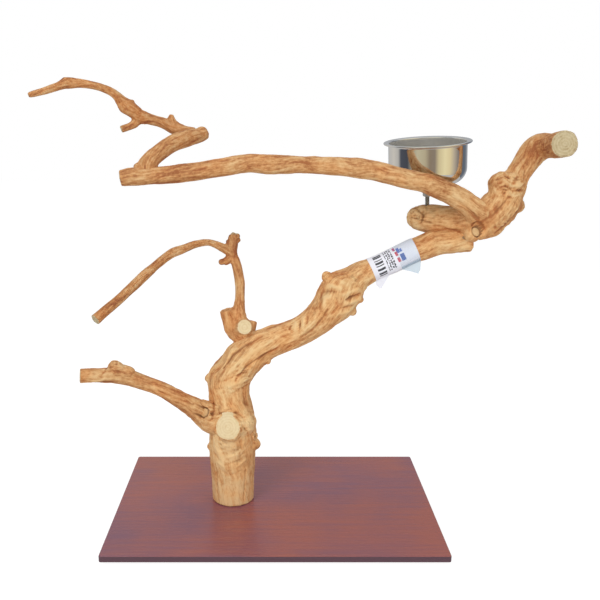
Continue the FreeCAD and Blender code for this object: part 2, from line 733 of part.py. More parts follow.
def build_cup(cup_limb):
    """Stud, nut, washer, boss and bowl, stacked along the stud; returns the stud's bore."""
    axis = stud_axis()
    surface = cup_limb.points[CUP_ROUND] + axis * cup_limb.radius(CUP_ROUND)

    def along(distance):
        return aimed(surface + axis * distance, axis)

    stud = "Sizes.stud_diameter / 2"
    bite = size("stud_bite")
    nut_seat = size("stud_exposed")
    washer_seat = nut_seat + size("nut_height")
    boss_seat = washer_seat + size("washer_thickness")
    bowl_seat = boss_seat + size("boss_height")
    length = (
        "Sizes.stud_bite + Sizes.stud_exposed + Sizes.nut_height"
        " + Sizes.washer_thickness + Sizes.stud_engagement"
    )
    outline = [("0", "0"), (stud, "Sizes.stud_diameter"), (stud, length), ("0", length)]
    node(turned("cup_stud_body", outline, along(-bite)), "cup_stud")
    bore = cylinder("cup_stud_bore", stud + " + Sizes.screw_clearance", "Sizes.stud_bite * 2", along(-bite))

    running = stud + " + Sizes.thread_clearance"
    washer = "Sizes.washer_diameter / 2"
    outline = [
        (running, "0"), (washer, "0"),
        (washer, "Sizes.washer_thickness"), (running, "Sizes.washer_thickness"),
    ]
    node(turned("cup_washer_body", outline, along(washer_seat)), "cup_washer")

    boss = "Sizes.boss_diameter / 2"
    depth = "(Sizes.stud_engagement + 0.5)"
    outline = [
        (running, "0"), (boss, "0"), (boss, "Sizes.boss_height"),
        ("0", "Sizes.boss_height"), ("0", depth), (running, depth),
    ]
    node(turned("cup_boss_body", outline, along(boss_seat)), "cup_boss")
    build_nut(along(nut_seat), running)
    build_bowl(along(bowl_seat))
    return bore


def build_nut(place, bore):
    """Hexagonal jam nut with chamfered corners."""
    corner = "Sizes.nut_flats / 2 / cos(30 deg)"
    flat = "Sizes.nut_flats / 2 * 0.98"
    hexagon = doc.addObject("Part::Prism", "nut_hexagon")
    hexagon.Polygon = 6
    bind(hexagon, {"Circumradius": corner, "Height": "Sizes.nut_height"})
    rounding = turned("nut_rounding", [
        ("0", "0"), (flat, "0"), (corner, "Sizes.nut_chamfer"),
        (corner, "Sizes.nut_height - Sizes.nut_chamfer"), (flat, "Sizes.nut_height"), ("0", "Sizes.nut_height"),
    ])
    blank = doc.addObject("Part::Common", "nut_blank")
    blank.Base = hexagon
    blank.Tool = rounding
    nut = cut("nut_bored", blank, cylinder("nut_bore", bore, "Sizes.nut_height"))
    nut.Placement = place
    return node(nut, "jam_nut")


def build_bowl(place):
    """Sheet-steel bowl with a rounded bottom and a flat rolled rim."""
    outside = "Sizes.bowl_diameter / 2"
    rim = "(Sizes.bowl_diameter / 2 + Sizes.bowl_rim_width)"
    under_rim = "Sizes.bowl_height - Sizes.bowl_rim_thickness"
    body = turned("cup_bowl_body", [
        ("0", "0"), (outside, "0"), (outside, under_rim),
        (rim, under_rim), (rim, "Sizes.bowl_height"), ("0", "Sizes.bowl_height"),
    ])
    radius = size("bowl_diameter") / 2

    def bottom_edge(edge):
        box = edge.BoundBox
        return box.ZMax < 1e-6 and box.XLength > radius

    round_edges(body, "bowl_bottom_round", "Sizes.bowl_corner_radius", bottom_edge)
    rim_radius = value(rim)

    def rim_edge(edge):
        return edge.BoundBox.XLength > 2 * rim_radius - 1e-3

    round_edges(body, "bowl_rolled_rim", "Sizes.bowl_rim_thickness * 0.45", rim_edge)
    inside = "Sizes.bowl_diameter / 2 - Sizes.bowl_wall"
    core = turned("bowl_core", [
        ("0", "Sizes.bowl_wall"), (inside, "Sizes.bowl_wall"),
        (inside, "Sizes.bowl_height * 1.1"), ("0", "Sizes.bowl_height * 1.1"),
    ])
    wall = size("bowl_wall")

    def core_bottom_edge(edge):
        box = edge.BoundBox
        return box.ZMax < wall + 1e-3 and box.XLength > radius

    round_edges(core, "bowl_core_round", "Sizes.bowl_corner_radius - Sizes.bowl_wall", core_bottom_edge)
    bowl = cut("bowl_hollowed", body, core)
    bowl.Placement = place
    return node(bowl, "cup_bowl")


def sleeve_loft(name, trunk, growth):
    """Loft around the trunk's straight stretch, larger than the wood by a growth all round."""
    rounds = []
    for i in range(LABEL_FIRST_ROUND, LABEL_LAST_ROUND + 1):
        ring = doc.addObject("Part::Circle", f"{name}_round_{i}")
        ring.Placement = Placement(trunk.points[i], trunk.turns[i])
        ring.setExpression("Radius", f"{trunk.radius_formula(i)} + {growth}")
        rounds.append(ring)
    loft = doc.addObject("Part::Loft", name)
    loft.Sections = rounds
    loft.Solid = True
    loft.Ruled = True
    return loft


def flap(name, corner, along, length, drop, lean, thickness):
    """Loose triangle of sheet that hangs from a corner under the limb."""
    point = corner + along * value(length) * lean + DOWN * value(drop)
    outline = doc.addObject("Part::Polygon", name + "_outline")
    outline.Nodes = [corner, corner + along * value(length), point]
    outline.Close = True
    hanging = doc.addObject("Part::Extrusion", name)
    hanging.Base = outline
    hanging.DirMode = "Custom"
    hanging.Dir = Vector(0, -1, 0)
    hanging.Solid = True
    hanging.setExpression("LengthFwd", thickness)
    return hanging


def under_edge(trunk, i, along, sunk):
    """Point on the underside of a sheet around one of the trunk's rounds."""
    underside = Vector(0, 1, 0).cross(along).normalize()
    return trunk.points[i] + underside * (trunk.radius(i) + sunk)


def build_label(trunk):
    """Paper label wrapped round the trunk, with a loose corner, and a clear film with a loose end."""
    paper_growth = "Sizes.label_thickness"
    film_growth = "Sizes.label_thickness + Sizes.film_thickness"
    first = LABEL_FIRST_ROUND
    last = LABEL_LAST_ROUND
    wood = sleeve_loft("label_wood", trunk, "0")
    paper_outside = sleeve_loft("label_outside", trunk, paper_growth)
    start = (trunk.points[first + 1] - trunk.points[first]).normalize()
    corner = under_edge(trunk, first, start, value(paper_growth) / 2) + start * size("label_corner_inset")
    corner_flap = flap(
        "label_corner", corner, start, "Sizes.label_corner_width",
        "Sizes.label_corner_drop", 0.2, "Sizes.label_thickness",
    )
    node(fused("label_sheet", [cut("label_sleeve", paper_outside, wood), corner_flap]), "price_label")

    film_sleeve = cut("film_sleeve", sleeve_loft("film_outside", trunk, film_growth), paper_outside)
    end = (trunk.points[last] - trunk.points[last - 1]).normalize()
    window = doc.addObject("Part::Box", "film_window")
    bind(window, {
        "Length": "Sizes.film_length",
        "Width": "Sizes.trunk_girth * 2",
        "Height": "Sizes.trunk_girth",
    })
    turn = Rotation(Vector(1, 0, 0), end)
    window_corner = Vector(-size("film_length"), -size("trunk_girth"), -size("trunk_girth"))
    window.Placement = Placement(trunk.points[last] + turn.multVec(window_corner), turn)
    strip = doc.addObject("Part::Common", "film_strip")
    strip.Base = film_sleeve
    strip.Tool = window
    doc.recompute()
    sunk = size("label_thickness") + size("film_thickness") / 2
    hem = under_edge(trunk, last, end, sunk) - end * size("film_length")
    film_end = flap("film_end", hem, end, "Sizes.film_length", "Sizes.film_drop", 0.9, "Sizes.film_thickness")
    node(fused("film_sheet", [strip, film_end]), "label_film")


def check_model():
    """Stop if any object failed or any sub-part isn't a sound solid."""
    for piece in doc.Objects:
        if "Invalid" in piece.State or "Error" in piece.State:
            raise RuntimeError(f"{piece.Name} failed: {piece.State}")
    for piece in nodes:
        if piece.Shape.isNull() or not piece.Shape.isValid() or not piece.Shape.Solids:
            raise RuntimeError(f"{piece.Label} is not a sound solid")


write_sizes()
build_board()
build_feet()
trunk = build_trunk()
build_low_perch(trunk)
build_arch_perch(trunk)
crown, cup_limb, long_perch = build_crown(trunk)
zig_bore = build_zig_and_tip(long_perch)
stud_bore = build_cup(cup_limb)
node(cut_all("crown_bored", crown, [zig_bore, stud_bore]), "crown")
node(cut_all("trunk_bored", trunk.solid, trunk.bores), "trunk")
build_label(trunk)
doc.recompute()
check_model()

os.makedirs("parts", exist_ok=True)
for piece in nodes:
    piece.Shape.exportStep(f"parts/{piece.Label}.step")
    box = piece.Shape.BoundBox
    print(
        f"{piece.Label}: {len(piece.Shape.Solids)} solid(s), {piece.Shape.Volume:.0f} mm3, "
        f"z {box.ZMin:.1f} to {box.ZMax:.1f}"
    )
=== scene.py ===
from functools import partial
from math import ceil, cos, radians, sin, tau

import bpy
import numpy as np
from bpy.props import FloatProperty, FloatVectorProperty, PointerProperty
from mathutils import Matrix, Vector, noise


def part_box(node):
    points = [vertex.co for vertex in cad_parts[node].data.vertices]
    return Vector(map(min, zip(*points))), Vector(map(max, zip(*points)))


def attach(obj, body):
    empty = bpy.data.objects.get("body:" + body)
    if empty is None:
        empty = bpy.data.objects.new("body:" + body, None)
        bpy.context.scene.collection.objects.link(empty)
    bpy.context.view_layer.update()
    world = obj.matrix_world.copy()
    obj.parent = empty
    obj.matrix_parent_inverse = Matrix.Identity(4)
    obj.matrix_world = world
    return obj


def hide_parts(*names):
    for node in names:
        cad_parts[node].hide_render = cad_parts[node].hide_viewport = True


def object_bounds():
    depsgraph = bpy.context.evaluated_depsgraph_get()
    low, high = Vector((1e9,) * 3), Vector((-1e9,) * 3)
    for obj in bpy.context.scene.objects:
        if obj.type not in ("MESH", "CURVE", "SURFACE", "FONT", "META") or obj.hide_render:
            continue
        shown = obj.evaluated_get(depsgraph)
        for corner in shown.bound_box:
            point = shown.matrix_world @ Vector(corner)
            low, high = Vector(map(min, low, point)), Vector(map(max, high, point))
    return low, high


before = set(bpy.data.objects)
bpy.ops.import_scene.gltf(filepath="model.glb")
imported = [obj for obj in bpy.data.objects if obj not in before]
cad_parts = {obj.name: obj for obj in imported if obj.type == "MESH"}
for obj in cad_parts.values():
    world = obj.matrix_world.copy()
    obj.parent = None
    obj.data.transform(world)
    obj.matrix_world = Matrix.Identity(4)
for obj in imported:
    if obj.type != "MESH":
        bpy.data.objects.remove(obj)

bl_info = {
    "name": "Parrot play stand",
    "version": (1, 0, 0),
    "blender": (4, 5, 0),
    "location": "3D View > Sidebar > Stand",
    "description": "Builds a parrot play stand of coffee wood with a screw-on steel cup, around its frame",
    "category": "Object",
}

CAD_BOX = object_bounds()
MM = 0.001
STAND = "stand"

# ---------------------------------------------------------------- lines and folds of the wood

# Lines of the limbs: reaches to the right, back and up, or one for all three, and girth, in millimetres.
# Then each row is one round of the limb: right, back and up in hundredths of those reaches, and its
# thickness in hundredths of that girth.
TRUNK_LINE = ((330, 20, 378), 68, [
    (0, 0, 0, 87), (0, 0, 12, 94), (0, -10, 22, 100), (0, -10, 30, 97), (0, -5, 37, 88),
    (-1, 0, 43, 84), (-1, 10, 49, 92), (4, 15, 55, 82), (10, 20, 59.5, 74), (18, 25, 63, 64),
    (26, 30, 65.5, 60), (36, 35, 70.5, 66), (44, 40, 78, 86), (48.5, 45, 83.5, 84), (53, 50, 87, 64),
    (59, 55, 89.5, 49.5), (68, 60, 93, 49), (77.5, 65, 97, 49), (85, 65, 99.5, 49), (94, 65, 100, 47),
    (100, 65, 100, 41),
])
TRUNK_STUB_LINE = (39, 40, [(0, 0, 0, 100), (-6, -60, 18, 98), (-10, -100, 34, 92)])
LOW_PERCH_LINE = ((198, 63, 97), 43, [
    (0, 0, 0, 98), (-17, -24, 23, 98), (-27, -36, 38, 68), (-38, -49, 56.5, 55), (-46, -59, 68.5, 50),
    (-61, -71, 84.5, 49), (-72, -81, 94.5, 52), (-84, -89, 97.5, 46), (-100, -100, 100, 43),
])
ARCH_STEM_LINE = ((31, 17, 163), 34, [
    (0, 0, 0, 76), (-45, 40, 9, 90), (-68, 59, 18, 100), (-74, 65, 30, 61), (-68, 76, 45, 41),
    (-68, 88, 57, 41), (-81, 100, 72, 40), (-99, 100, 84, 38), (-94, 98, 93, 37), (-92, 94, 100, 26),
])
ARCH_ARM_LINE = ((166, 128, 65), 13, [
    (0, 0, -5, 92), (-5, -2, 5, 97), (-10, -5, 14, 89), (-18, -9, 23, 73), (-29, -17, 23, 79),
    (-39, -26, 15, 89), (-47, -33, 9, 97), (-58, -44, -10, 89), (-67, -55, -29, 104),
    (-83, -77, -65, 97), (-100, -100, -100, 107),
])
HORN_LINE = ((76, 53, 104), 51, [
    (-8, 0, -5, 88), (7, 0, 10, 100), (25, 0, 24, 98), (34, 2, 40, 82), (50.5, 8, 62, 61),
    (73, 19, 85, 68), (89, 17, 95, 70), (97, -9, 97, 62), (99, -53, 98, 65), (100, -100, 100, 67),
])
CUP_LIMB_LINE = (101, 49, [
    (0, 0, 0, 98), (-22, 10, -1.5, 88), (-47, 24, -1.5, 82), (-73.5, 37.5, 0, 80), (-86, 42, 0, 69),
    (-95.5, 44, -1, 49), (-100, 45, -1.5, 23),
])
LONG_PERCH_LINE = ((481, 68, 80), 35, [
    (0, -6, 1, 100), (-4, -16, 19, 94), (-9, -29, 40, 83), (-14, -41, 55, 79), (-18.5, -53, 66, 73),
    (-27, -65, 78, 70), (-36, -71, 91, 73), (-45, -74, 96, 66), (-53, -76, 98, 61), (-61, -80, 98, 70),
    (-67, -82, 100, 67), (-74, -85, 94, 66), (-83, -90, 86, 66), (-93, -95, 81, 62),
    (-97.5, -99, 80, 63), (-100, -100, 78, 59),
])
ZIG_PERCH_LINE = (70, 26, [
    (0, 5, 4, 84), (4, 9, 26, 84), (17, 19, 39, 81), (43, 44, 57, 83), (70, 70, 67, 84),
    (90, 87, 70.5, 65), (100, 94, 72, 40),
])
TIP_PERCH_LINE = (194, 19, [
    (3, 6, 4, 52), (-4, 6, 4, 77), (-11, 6, 6, 88), (-19, 4, 9.5, 74), (-27, 2, 12, 74),
    (-34.5, 0, 15, 90), (-40, -2, 19.5, 100), (-44.5, -4, 24, 70), (-49, -6, 28.5, 56),
    (-55.5, -9, 31.5, 51), (-63.5, -11.5, 33.5, 52), (-73, -14.5, 34.5, 60), (-78, -16, 34.5, 67),
    (-84, -17.5, 31.5, 54), (-91, -19.5, 29, 46), (-98, -21.5, 27, 39), (-100, -22, 26.5, 30),
])
LEFT_STUB_LINE = (29, 34, [(-8, 0, -30, 80), (-44, -3, 30, 68), (-64, -7, 94, 58)])
FRONT_STUB_LINE = (29, 34, [(12, 0, 0, 68), (18, -50, 18, 64), (26, -100, 32, 61)])
BACK_STUB_LINE = (29, 34, [(10, 10, -40, 56), (50, 26, -10, 46), (62, 36, 28, 36)])
HOOK_LINE = (29, 34, [(0, 0, -5, 30), (-30, -7, -36, 27), (-56, -14, -48, 22)])
PRONG_LINE = (29, 34, [(0, 0, 0, 28), (-15, -3, 30, 22), (-22, -7, 60, 19)])
TIP_STUB_LINE = (194, 19, [(1, 0, -1, 62), (-4, -2, -7, 50), (-11, -4, -9.8, 48)])
SPIKE_LINE = (194, 19, [(-1.4, 0, 2, 84), (-2, 0, 6, 58), (-1.9, 0, 9.2, 26)])

# Folds of the wood: height and width, then a path of x and z, all in millimetres.
TRUNK_FOLDS = [
    (2.5, 2.8, [(56, 317), (58, 327), (67, 333), (77, 334), (88, 331)]),
    (-0.7, 1.8, [(61, 314), (64, 323), (72, 327), (83, 327)]),
    (1.8, 2.4, [(66, 306), (68, 317), (76, 321)]),
    (-1.9, 1.5, [(97, 316), (102, 319), (109, 321), (117, 323)]),
    (1.8, 2.6, [(92, 323), (103, 327), (113, 329)]),
    (2.0, 2.8, [(98, 310), (109, 313), (117, 315)]),
    (-1.4, 1.5, [(90, 304), (98, 306), (106, 306)]),
    (1.6, 2.6, [(90, 297), (102, 300)]),
    (1.1, 2.2, [(72, 342), (87, 342), (102, 336)]),
    (-1.2, 1.6, [(81, 348), (96, 352), (109, 356)]),
    (-1.0, 1.7, [(84, 318), (85, 307), (78, 297)]),
    (-1.9, 1.6, [(18, 289), (22, 280), (21, 272)]),
    (2.0, 1.9, [(24, 290), (29, 282), (28, 272)]),
    (-1.9, 1.6, [(30, 292), (35, 283), (34, 274)]),
    (1.9, 1.9, [(36, 293), (40, 285), (39, 278)]),
    (-1.0, 1.5, [(42, 295), (45, 288), (44, 280)]),
    (-1.5, 1.6, [(-73, 222), (-59, 238), (-40, 251), (-18, 262)]),
    (1.3, 2.0, [(-65, 213), (-48, 230), (-26, 245), (-4, 256)]),
    (-1.4, 1.5, [(-54, 204), (-39, 222), (-18, 236), (7, 249)]),
    (-1.3, 1.5, [(-18, 271), (-1, 276), (14, 282)]),
    (-1.3, 1.6, [(36, 262), (51, 272), (64, 288), (72, 302)]),
    (1.2, 1.8, [(40, 272), (52, 283), (59, 299)]),
    (-1.1, 1.4, [(110, 341), (123, 352), (133, 363)]),
    (-1.1, 1.4, [(194, 388), (211, 394), (230, 400), (246, 403)]),
    (1.0, 1.7, [(201, 379), (221, 384), (241, 391), (258, 394)]),
    (-1.2, 1.4, [(-69, 204), (-54, 210), (-39, 214)]),
    (1.1, 1.6, [(-64, 194), (-49, 200), (-33, 204)]),
    (-1.1, 1.4, [(-61, 184), (-46, 190), (-33, 195)]),
    (0.9, 2.2, [(-85, 106), (-77, 98)]),
    (0.8, 2.0, [(-65, 93), (-52, 97), (-42, 104)]),
    (-0.9, 1.4, [(-87, 97), (-77, 87)]),
    (-0.8, 1.5, [(-64, 83), (-50, 87)]),
    (0.7, 1.8, [(-81, 83), (-70, 77)]),
    (0.8, 1.6, [(-54, 77), (-41, 86)]),
    (-0.5, 1.6, [(-77, 72), (-63, 64), (-48, 70)]),
    (-1.5, 1.3, [(-80, 155), (-69, 160), (-55, 158), (-45, 151)]),
    (1.4, 1.6, [(-48, 146), (-38, 142), (-32, 131)]),
    (-1.5, 1.2, [(-45, 139), (-38, 131), (-37, 121)]),
    (1.2, 1.6, [(-46, 127), (-42, 116), (-45, 107)]),
    (-0.9, 1.3, [(-83, 66), (-83, 41), (-82, 19)]),
    (-0.4, 1.5, [(-61, 56), (-60, 35), (-60, 14)]),
    (-0.9, 1.3, [(-41, 69), (-43, 44), (-44, 22)]),
    (0.9, 1.7, [(-71, 60), (-72, 38), (-72, 17)]),
    (0.9, 1.7, [(-51, 56), (-52, 36), (-52, 16)]),
    (-1.3, 1.6, [(-87, 166), (-86, 155), (-89, 143)]),
]
CROWN_FOLDS = [
    (1.8, 1.5, [(301, 477), (310, 469), (321, 469), (328, 473)]),
    (-1.8, 1.2, [(302, 469), (312, 463), (324, 463)]),
    (1.4, 1.5, [(306, 460), (315, 456), (325, 459)]),
    (-1.5, 1.2, [(303, 482), (312, 477), (323, 478)]),
    (-1.2, 1.6, [(274, 422), (288, 432), (300, 447), (309, 456)]),
    (1.0, 2.0, [(282, 413), (297, 424), (311, 440)]),
    (-1.2, 1.6, [(295, 407), (310, 419), (322, 435)]),
    (1.1, 1.8, [(284, 476), (288, 485), (298, 489)]),
    (-1.1, 1.4, [(283, 467), (289, 476), (298, 480)]),
    (-1.9, 1.2, [(262, 418), (268, 422), (277, 419), (281, 413)]),
    (-1.0, 1.5, [(217, 464), (238, 451), (256, 438), (270, 426)]),
    (0.9, 2.0, [(203, 476), (226, 465), (247, 451)]),
    (-0.8, 1.4, [(332, 528), (342, 521), (347, 509)]),
    (-0.8, 1.4, [(324, 503), (330, 490), (329, 477)]),
]
CUP_LIMB_FOLDS = [
    (-1.2, 1.5, [(190, 422), (208, 418), (229, 411), (250, 406)]),
    (1.0, 1.8, [(194, 410), (215, 406), (239, 400)]),
    (-1.3, 1.3, [(197, 435), (205, 426), (202, 415)]),
]
LOW_PERCH_FOLDS = [
    (-1.3, 1.6, [(-86, 172), (-84, 162), (-87, 150)]),
    (-1.2, 1.2, [(-103, 172), (-102, 159), (-97, 148)]),
    (-1.0, 1.3, [(-228, 215), (-199, 208), (-172, 194), (-145, 178)]),
    (0.9, 1.5, [(-199, 198), (-172, 185), (-142, 166), (-123, 148)]),
    (-1.1, 1.2, [(-229, 225), (-223, 233), (-214, 235), (-205, 228)]),
    (-1.0, 1.3, [(-158, 197), (-133, 184), (-112, 172)]),
    (0.8, 1.4, [(-261, 215), (-245, 215), (-228, 218)]),
]

# Heights, places and sizes in millimetres, and rounds of a limb by their number.
BOARD_TOP = 13
TRUNK_FOOT = Vector((-61, 7, BOARD_TOP))
CROWN_FROM_TRUNK_END = Vector((19, -12, 29))
KNOT_SIZE = 14
STUD_ROUND = 3
LABEL_FIRST_ROUND = 15
LABEL_LAST_ROUND = 17


def linear(code):
    """Linear colour of an sRGB hex value."""
    channels = [int(code[i:i + 2], 16) / 255 for i in (0, 2, 4)]
    return tuple(c / 12.92 if c <= 0.04045 else ((c + 0.055) / 1.055) ** 2.4 for c in channels)


def colour(name, description, code):
    return FloatVectorProperty(
        name=name, description=description, default=linear(code), subtype="COLOR", min=0, max=1,
    )


def length(name, description, millimetres):
    return FloatProperty(
        name=name, description=description, default=millimetres * MM, unit="LENGTH", precision=4,
    )


class StandSizes(bpy.types.PropertyGroup):
    """Sizes of the wood's relief and of the small work on the fittings."""

    wood_facet: length("Wood facet", "Edge of the faces that the limbs are carved in", 1.3)
    quick_facet: length("Quick facet", "The same edge for a quick look", 2.2)
    lump_height: length("Lump height", "Swellings of the limbs", 1.5)
    flute_height: length("Flute height", "Long flutes that follow the grain", 1.1)
    fibre_height: length("Fibre height", "Sand-blasted ridges of the grain", 0.3)
    crumple_height: length("Crumple height", "Small dents of the sand-blasted skin", 0.45)
    thread_pitch: length("Thread pitch", "Pitch of the cup's stud", 1.27)
    rim_bead: length("Rim bead", "Rolled edge of the cup's rim, across", 2.4)


class StandColours(bpy.types.PropertyGroup):
    """Colours of the finishes."""

    honey: colour("Honey wood", "Sand-blasted coffee wood in the open", "DDAA70")
    umber: colour("Umber wood", "Orange-brown streaks of the grain", "B8733D")
    cream: colour("Cream wood", "Pale raised grain", "EFCB94")
    # Painted shade: this colour is laid on where the carved relief is deepest, and is also the darkest tone
    # of a weathered cut end.
    crease_shade: colour("Crease", "Dirt and shade in the carved creases", "80522C")
    sawn: colour("Sawn wood", "Pale cut end grain", "E2C897")
    old_honey: colour("Ruddy honey", "Older, ruddier wood in the open", "BE8148")
    old_umber: colour("Ruddy umber", "Streaks of the ruddier wood", "92522A")
    old_cream: colour("Ruddy cream", "Raised grain of the ruddier wood", "D9B07E")
    old_sawn: colour("Weathered end", "Cut end that has greyed", "BBA982")
    board_red: colour("Board red", "Red of the stained board", "A95F52")
    board_dark: colour("Board dark", "Darker grain of the stained board", "86586A")
    # Partly painted shade: the board's upright faces are darkened to this colour, which is also the edge's
    # own darker stain.
    board_edge_and_shade: colour("Board edge", "Sealed edge of the board", "5C3F49")
    steel: colour("Steel", "Polished stainless steel", "DEDCD7")
    zinc: colour("Zinc", "Zinc-plated screws", "B5B2A8")
    rubber: colour("Rubber", "Moulded feet", "17171A")
    paper: colour("Paper", "Coated label paper", "F1F2FB")
    ink: colour("Ink", "Grey bars on the label", "3B3D46")
    film: colour("Film", "Clear film over the label", "C4DAEA")


def sizes():
    return bpy.context.scene.stand_sizes


def colours():
    return bpy.context.scene.stand_colours


# ---------------------------------------------------------------- limbs


class Limb:
    """Grown limb: a smooth middle line in close steps, with its radii, headings and cross axes.

    `ruddy` says how ruddy the wood is at its root and at its end, and `sawn` whether it ends in a cut.
    """

    STEP = 3 * MM
    POINTS_AT_ONCE = 4000

    def __init__(self, root, line, ruddy=(0, 0), sawn=True):
        reaches, girth, rows = line
        rows = np.array(rows, float)
        middles = np.array(root) + rows[:, :3] * np.array(reaches) / 100
        self.rounds = np.column_stack([middles, rows[:, 3:] * girth / 200]) * MM
        self.ruddy = ruddy
        self.sawn = sawn
        self.samples, self.stations = self.smooth()
        self.middles = self.samples[:, :3]
        self.radii = self.samples[:, 3]
        steps = np.linalg.norm(np.diff(self.middles, axis=0), axis=1)
        self.along = np.concatenate([[0], np.cumsum(steps)])
        self.headings = np.gradient(self.middles, axis=0)
        self.headings /= np.linalg.norm(self.headings, axis=1)[:, None]
        self.across = self.cross_axes()

    def smooth(self):
        """Cubic through the rounds, and where each round falls in it."""
        rounds = self.rounds
        spans = np.linalg.norm(np.diff(rounds[:, :3], axis=0), axis=1)
        slopes = np.diff(rounds, axis=0) / spans[:, None]
        tangents = np.empty_like(rounds)
        tangents[0] = slopes[0]
        tangents[-1] = slopes[-1]
        weights = (spans[:-1] / (spans[:-1] + spans[1:]))[:, None]
        tangents[1:-1] = slopes[:-1] * (1 - weights) + slopes[1:] * weights
        samples = []
        stations = [0]
        for i, span in enumerate(spans):
            count = max(2, ceil(span / self.STEP))
            for t in np.arange(count) / count:
                samples.append(
                    rounds[i] * (2 * t**3 - 3 * t**2 + 1)
                    + rounds[i + 1] * (3 * t**2 - 2 * t**3)
                    + tangents[i] * span * (t**3 - 2 * t**2 + t)
                    + tangents[i + 1] * span * (t**3 - t**2)
                )
            stations.append(len(samples))
        samples.append(rounds[-1])
        return np.array(samples), stations

    def cross_axes(self):
        """Two axes square to the limb at each step, turned along with it and never twisted."""
        axis = Vector(self.headings[0]).orthogonal().normalized()
        axes = []
        for heading in self.headings:
            heading = Vector(heading)
            axis = (axis - heading * axis.dot(heading)).normalized()
            axes.append((axis, heading.cross(axis)))
        return np.array(axes)

    def round_at(self, i):
        """Middle of one round, in millimetres."""
        return self.rounds[i, :3] / MM

    def tube(self, name):
        """Round-bevelled curve along the limb, made a closed mesh."""
        curve = bpy.data.curves.new(name, "CURVE")
        curve.dimensions = "3D"
        curve.bevel_depth = 1
        curve.bevel_resolution = 12
        curve.use_fill_caps = True
        spline = curve.splines.new("POLY")
        spline.points.add(len(self.samples) - 1)
        for point, (x, y, z, radius) in zip(spline.points, self.samples):
            point.co = (x, y, z, 1)
            point.radius = radius
        piece = bpy.data.objects.new(name, curve)
        bpy.context.collection.objects.link(piece)
        pick(piece)
        bpy.ops.object.convert(target="MESH")
        return bpy.context.object

    def locate(self, points):
        """Where points lie on the limb: in its cross-section and along it, how far out in radii, the
        radius and step there, and how far past that step."""
        nearest = np.empty(len(points), int)
        for start in range(0, len(points), self.POINTS_AT_ONCE):
            some = slice(start, start + self.POINTS_AT_ONCE)
            gaps = points[some, None, :] - self.middles[None]
            reach = np.einsum("ijk,ijk->ij", gaps, gaps) / self.radii[None] ** 2
            nearest[some] = reach.argmin(axis=1)
        offset = points - self.middles[nearest]
        lead = np.einsum("ij,ij->i", offset, self.headings[nearest])
        u = np.einsum("ij,ij->i", offset, self.across[nearest, 0])
        v = np.einsum("ij,ij->i", offset, self.across[nearest, 1])
        along = self.along[nearest] + lead
        outness = np.linalg.norm(offset, axis=1) / self.radii[nearest]
        return np.column_stack([u, v, along]), outness, self.radii[nearest], nearest, lead


def trunk_limb():
    return Limb(TRUNK_FOOT, TRUNK_LINE)


def crown_middle():
    """Middle of the crown's hub, in millimetres."""
    return Vector(trunk_limb().round_at(-1)) + CROWN_FROM_TRUNK_END


def long_perch_limb():
    return Limb(crown_middle(), LONG_PERCH_LINE, (0.25, 0.7))


def pick(*pieces):
    """Deselect everything, then select these pieces, the first one active."""
    bpy.ops.object.select_all(action="DESELECT")
    for piece in pieces:
        piece.select_set(True)
    if pieces:
        bpy.context.view_layer.objects.active = pieces[0]


def apply_modifier(piece, kind, **settings):
    """Give a piece a modifier with its settings, and apply it."""
    pick(piece)
    modifier = piece.modifiers.new(kind.title(), kind)
    for name, value in settings.items():
        setattr(modifier, name, value)
    bpy.ops.object.modifier_apply(modifier=modifier.name)


def join(name, pieces):
    """Make one named piece of several."""
    pick(*pieces)
    bpy.ops.object.join()
    whole = bpy.context.object
    whole.name = whole.data.name = name
    return whole


def settle(piece):
    """Put a piece's place into its mesh and its object at the origin."""
    pick(piece)
    bpy.ops.object.transform_apply(location=True, rotation=True, scale=True)
    return piece


def ball(place, radius, stretch=(1, 1, 1)):
    """Healed knot or burl, before the wood is made one skin; place and radius in millimetres."""
    pick()
    bpy.ops.mesh.primitive_ico_sphere_add(subdivisions=4, radius=radius * MM, location=Vector(place) * MM)
    piece = bpy.context.object
    piece.scale = stretch
    return settle(piece)


def knots(limb, *rows):
    """Healed knots: the round's number, right, back and up in hundredths of its radius, and size in
    hundredths of the knot size."""
    balls = []
    for i, right, back, up, share in rows:
        middle = limb.rounds[i, :3] + np.array([right, back, up]) / 100 * limb.rounds[i, 3]
        balls.append(ball(middle / MM, KNOT_SIZE * share / 200))
    return balls


def noise_at(places, seed):
    """Smooth noise from -1 to 1 with features about one unit wide; each seed is a pattern of its own."""
    shift = Vector((17.3, 5.1, 9.7)) * seed
    return np.array([noise.noise(Vector(place) + shift) for place in places.tolist()])


# Grain and relief of the wood: real sizes in metres, and the grain's spiral in radians a metre.
GRAIN_TURN = 7.0
LUMP_SIZE = 26 * MM
FLUTES_TO_A_METRE = np.array([1 / (7.5 * MM), 1 / (7.5 * MM), 1 / (55 * MM)])
FIBRES_TO_A_METRE = np.array([1 / (2.4 * MM), 1 / (2.4 * MM), 1 / (24 * MM)])
CRUMPLE_SIZE = 5.5 * MM
WARP_SIZE = 32 * MM
WARP = (5 * MM, 5 * MM, 10 * MM)
FULL_RADIUS = 24 * MM
THIN_LIMB_SHARE = 0.25
THICK_LIMB_SHARE = 1.3
LIMB_CONTRAST = 9
END_DEPTH = 0.8 * MM
FLUTE_STREAK = 0.7
FIBRE_STREAK = 0.5
SMOOTH_ANGLE = radians(50)

# Smoothing of the forks: full where a second limb is nearly as near as the first, then falling off by
# this much for each radius that it is further away, and how often it is repeated.
FORK_NEARNESS = 1.6
FORK_FALL = 2.2
FORK_EASING = 24


def twisted(local):
    """Cross-section places turned about the limb as they go along it, as spiral grain is."""
    angle = local[:, 2] * GRAIN_TURN
    u = local[:, 0] * np.cos(angle) - local[:, 1] * np.sin(angle)
    v = local[:, 0] * np.sin(angle) + local[:, 1] * np.cos(angle)
    return np.column_stack([u, v, local[:, 2]])


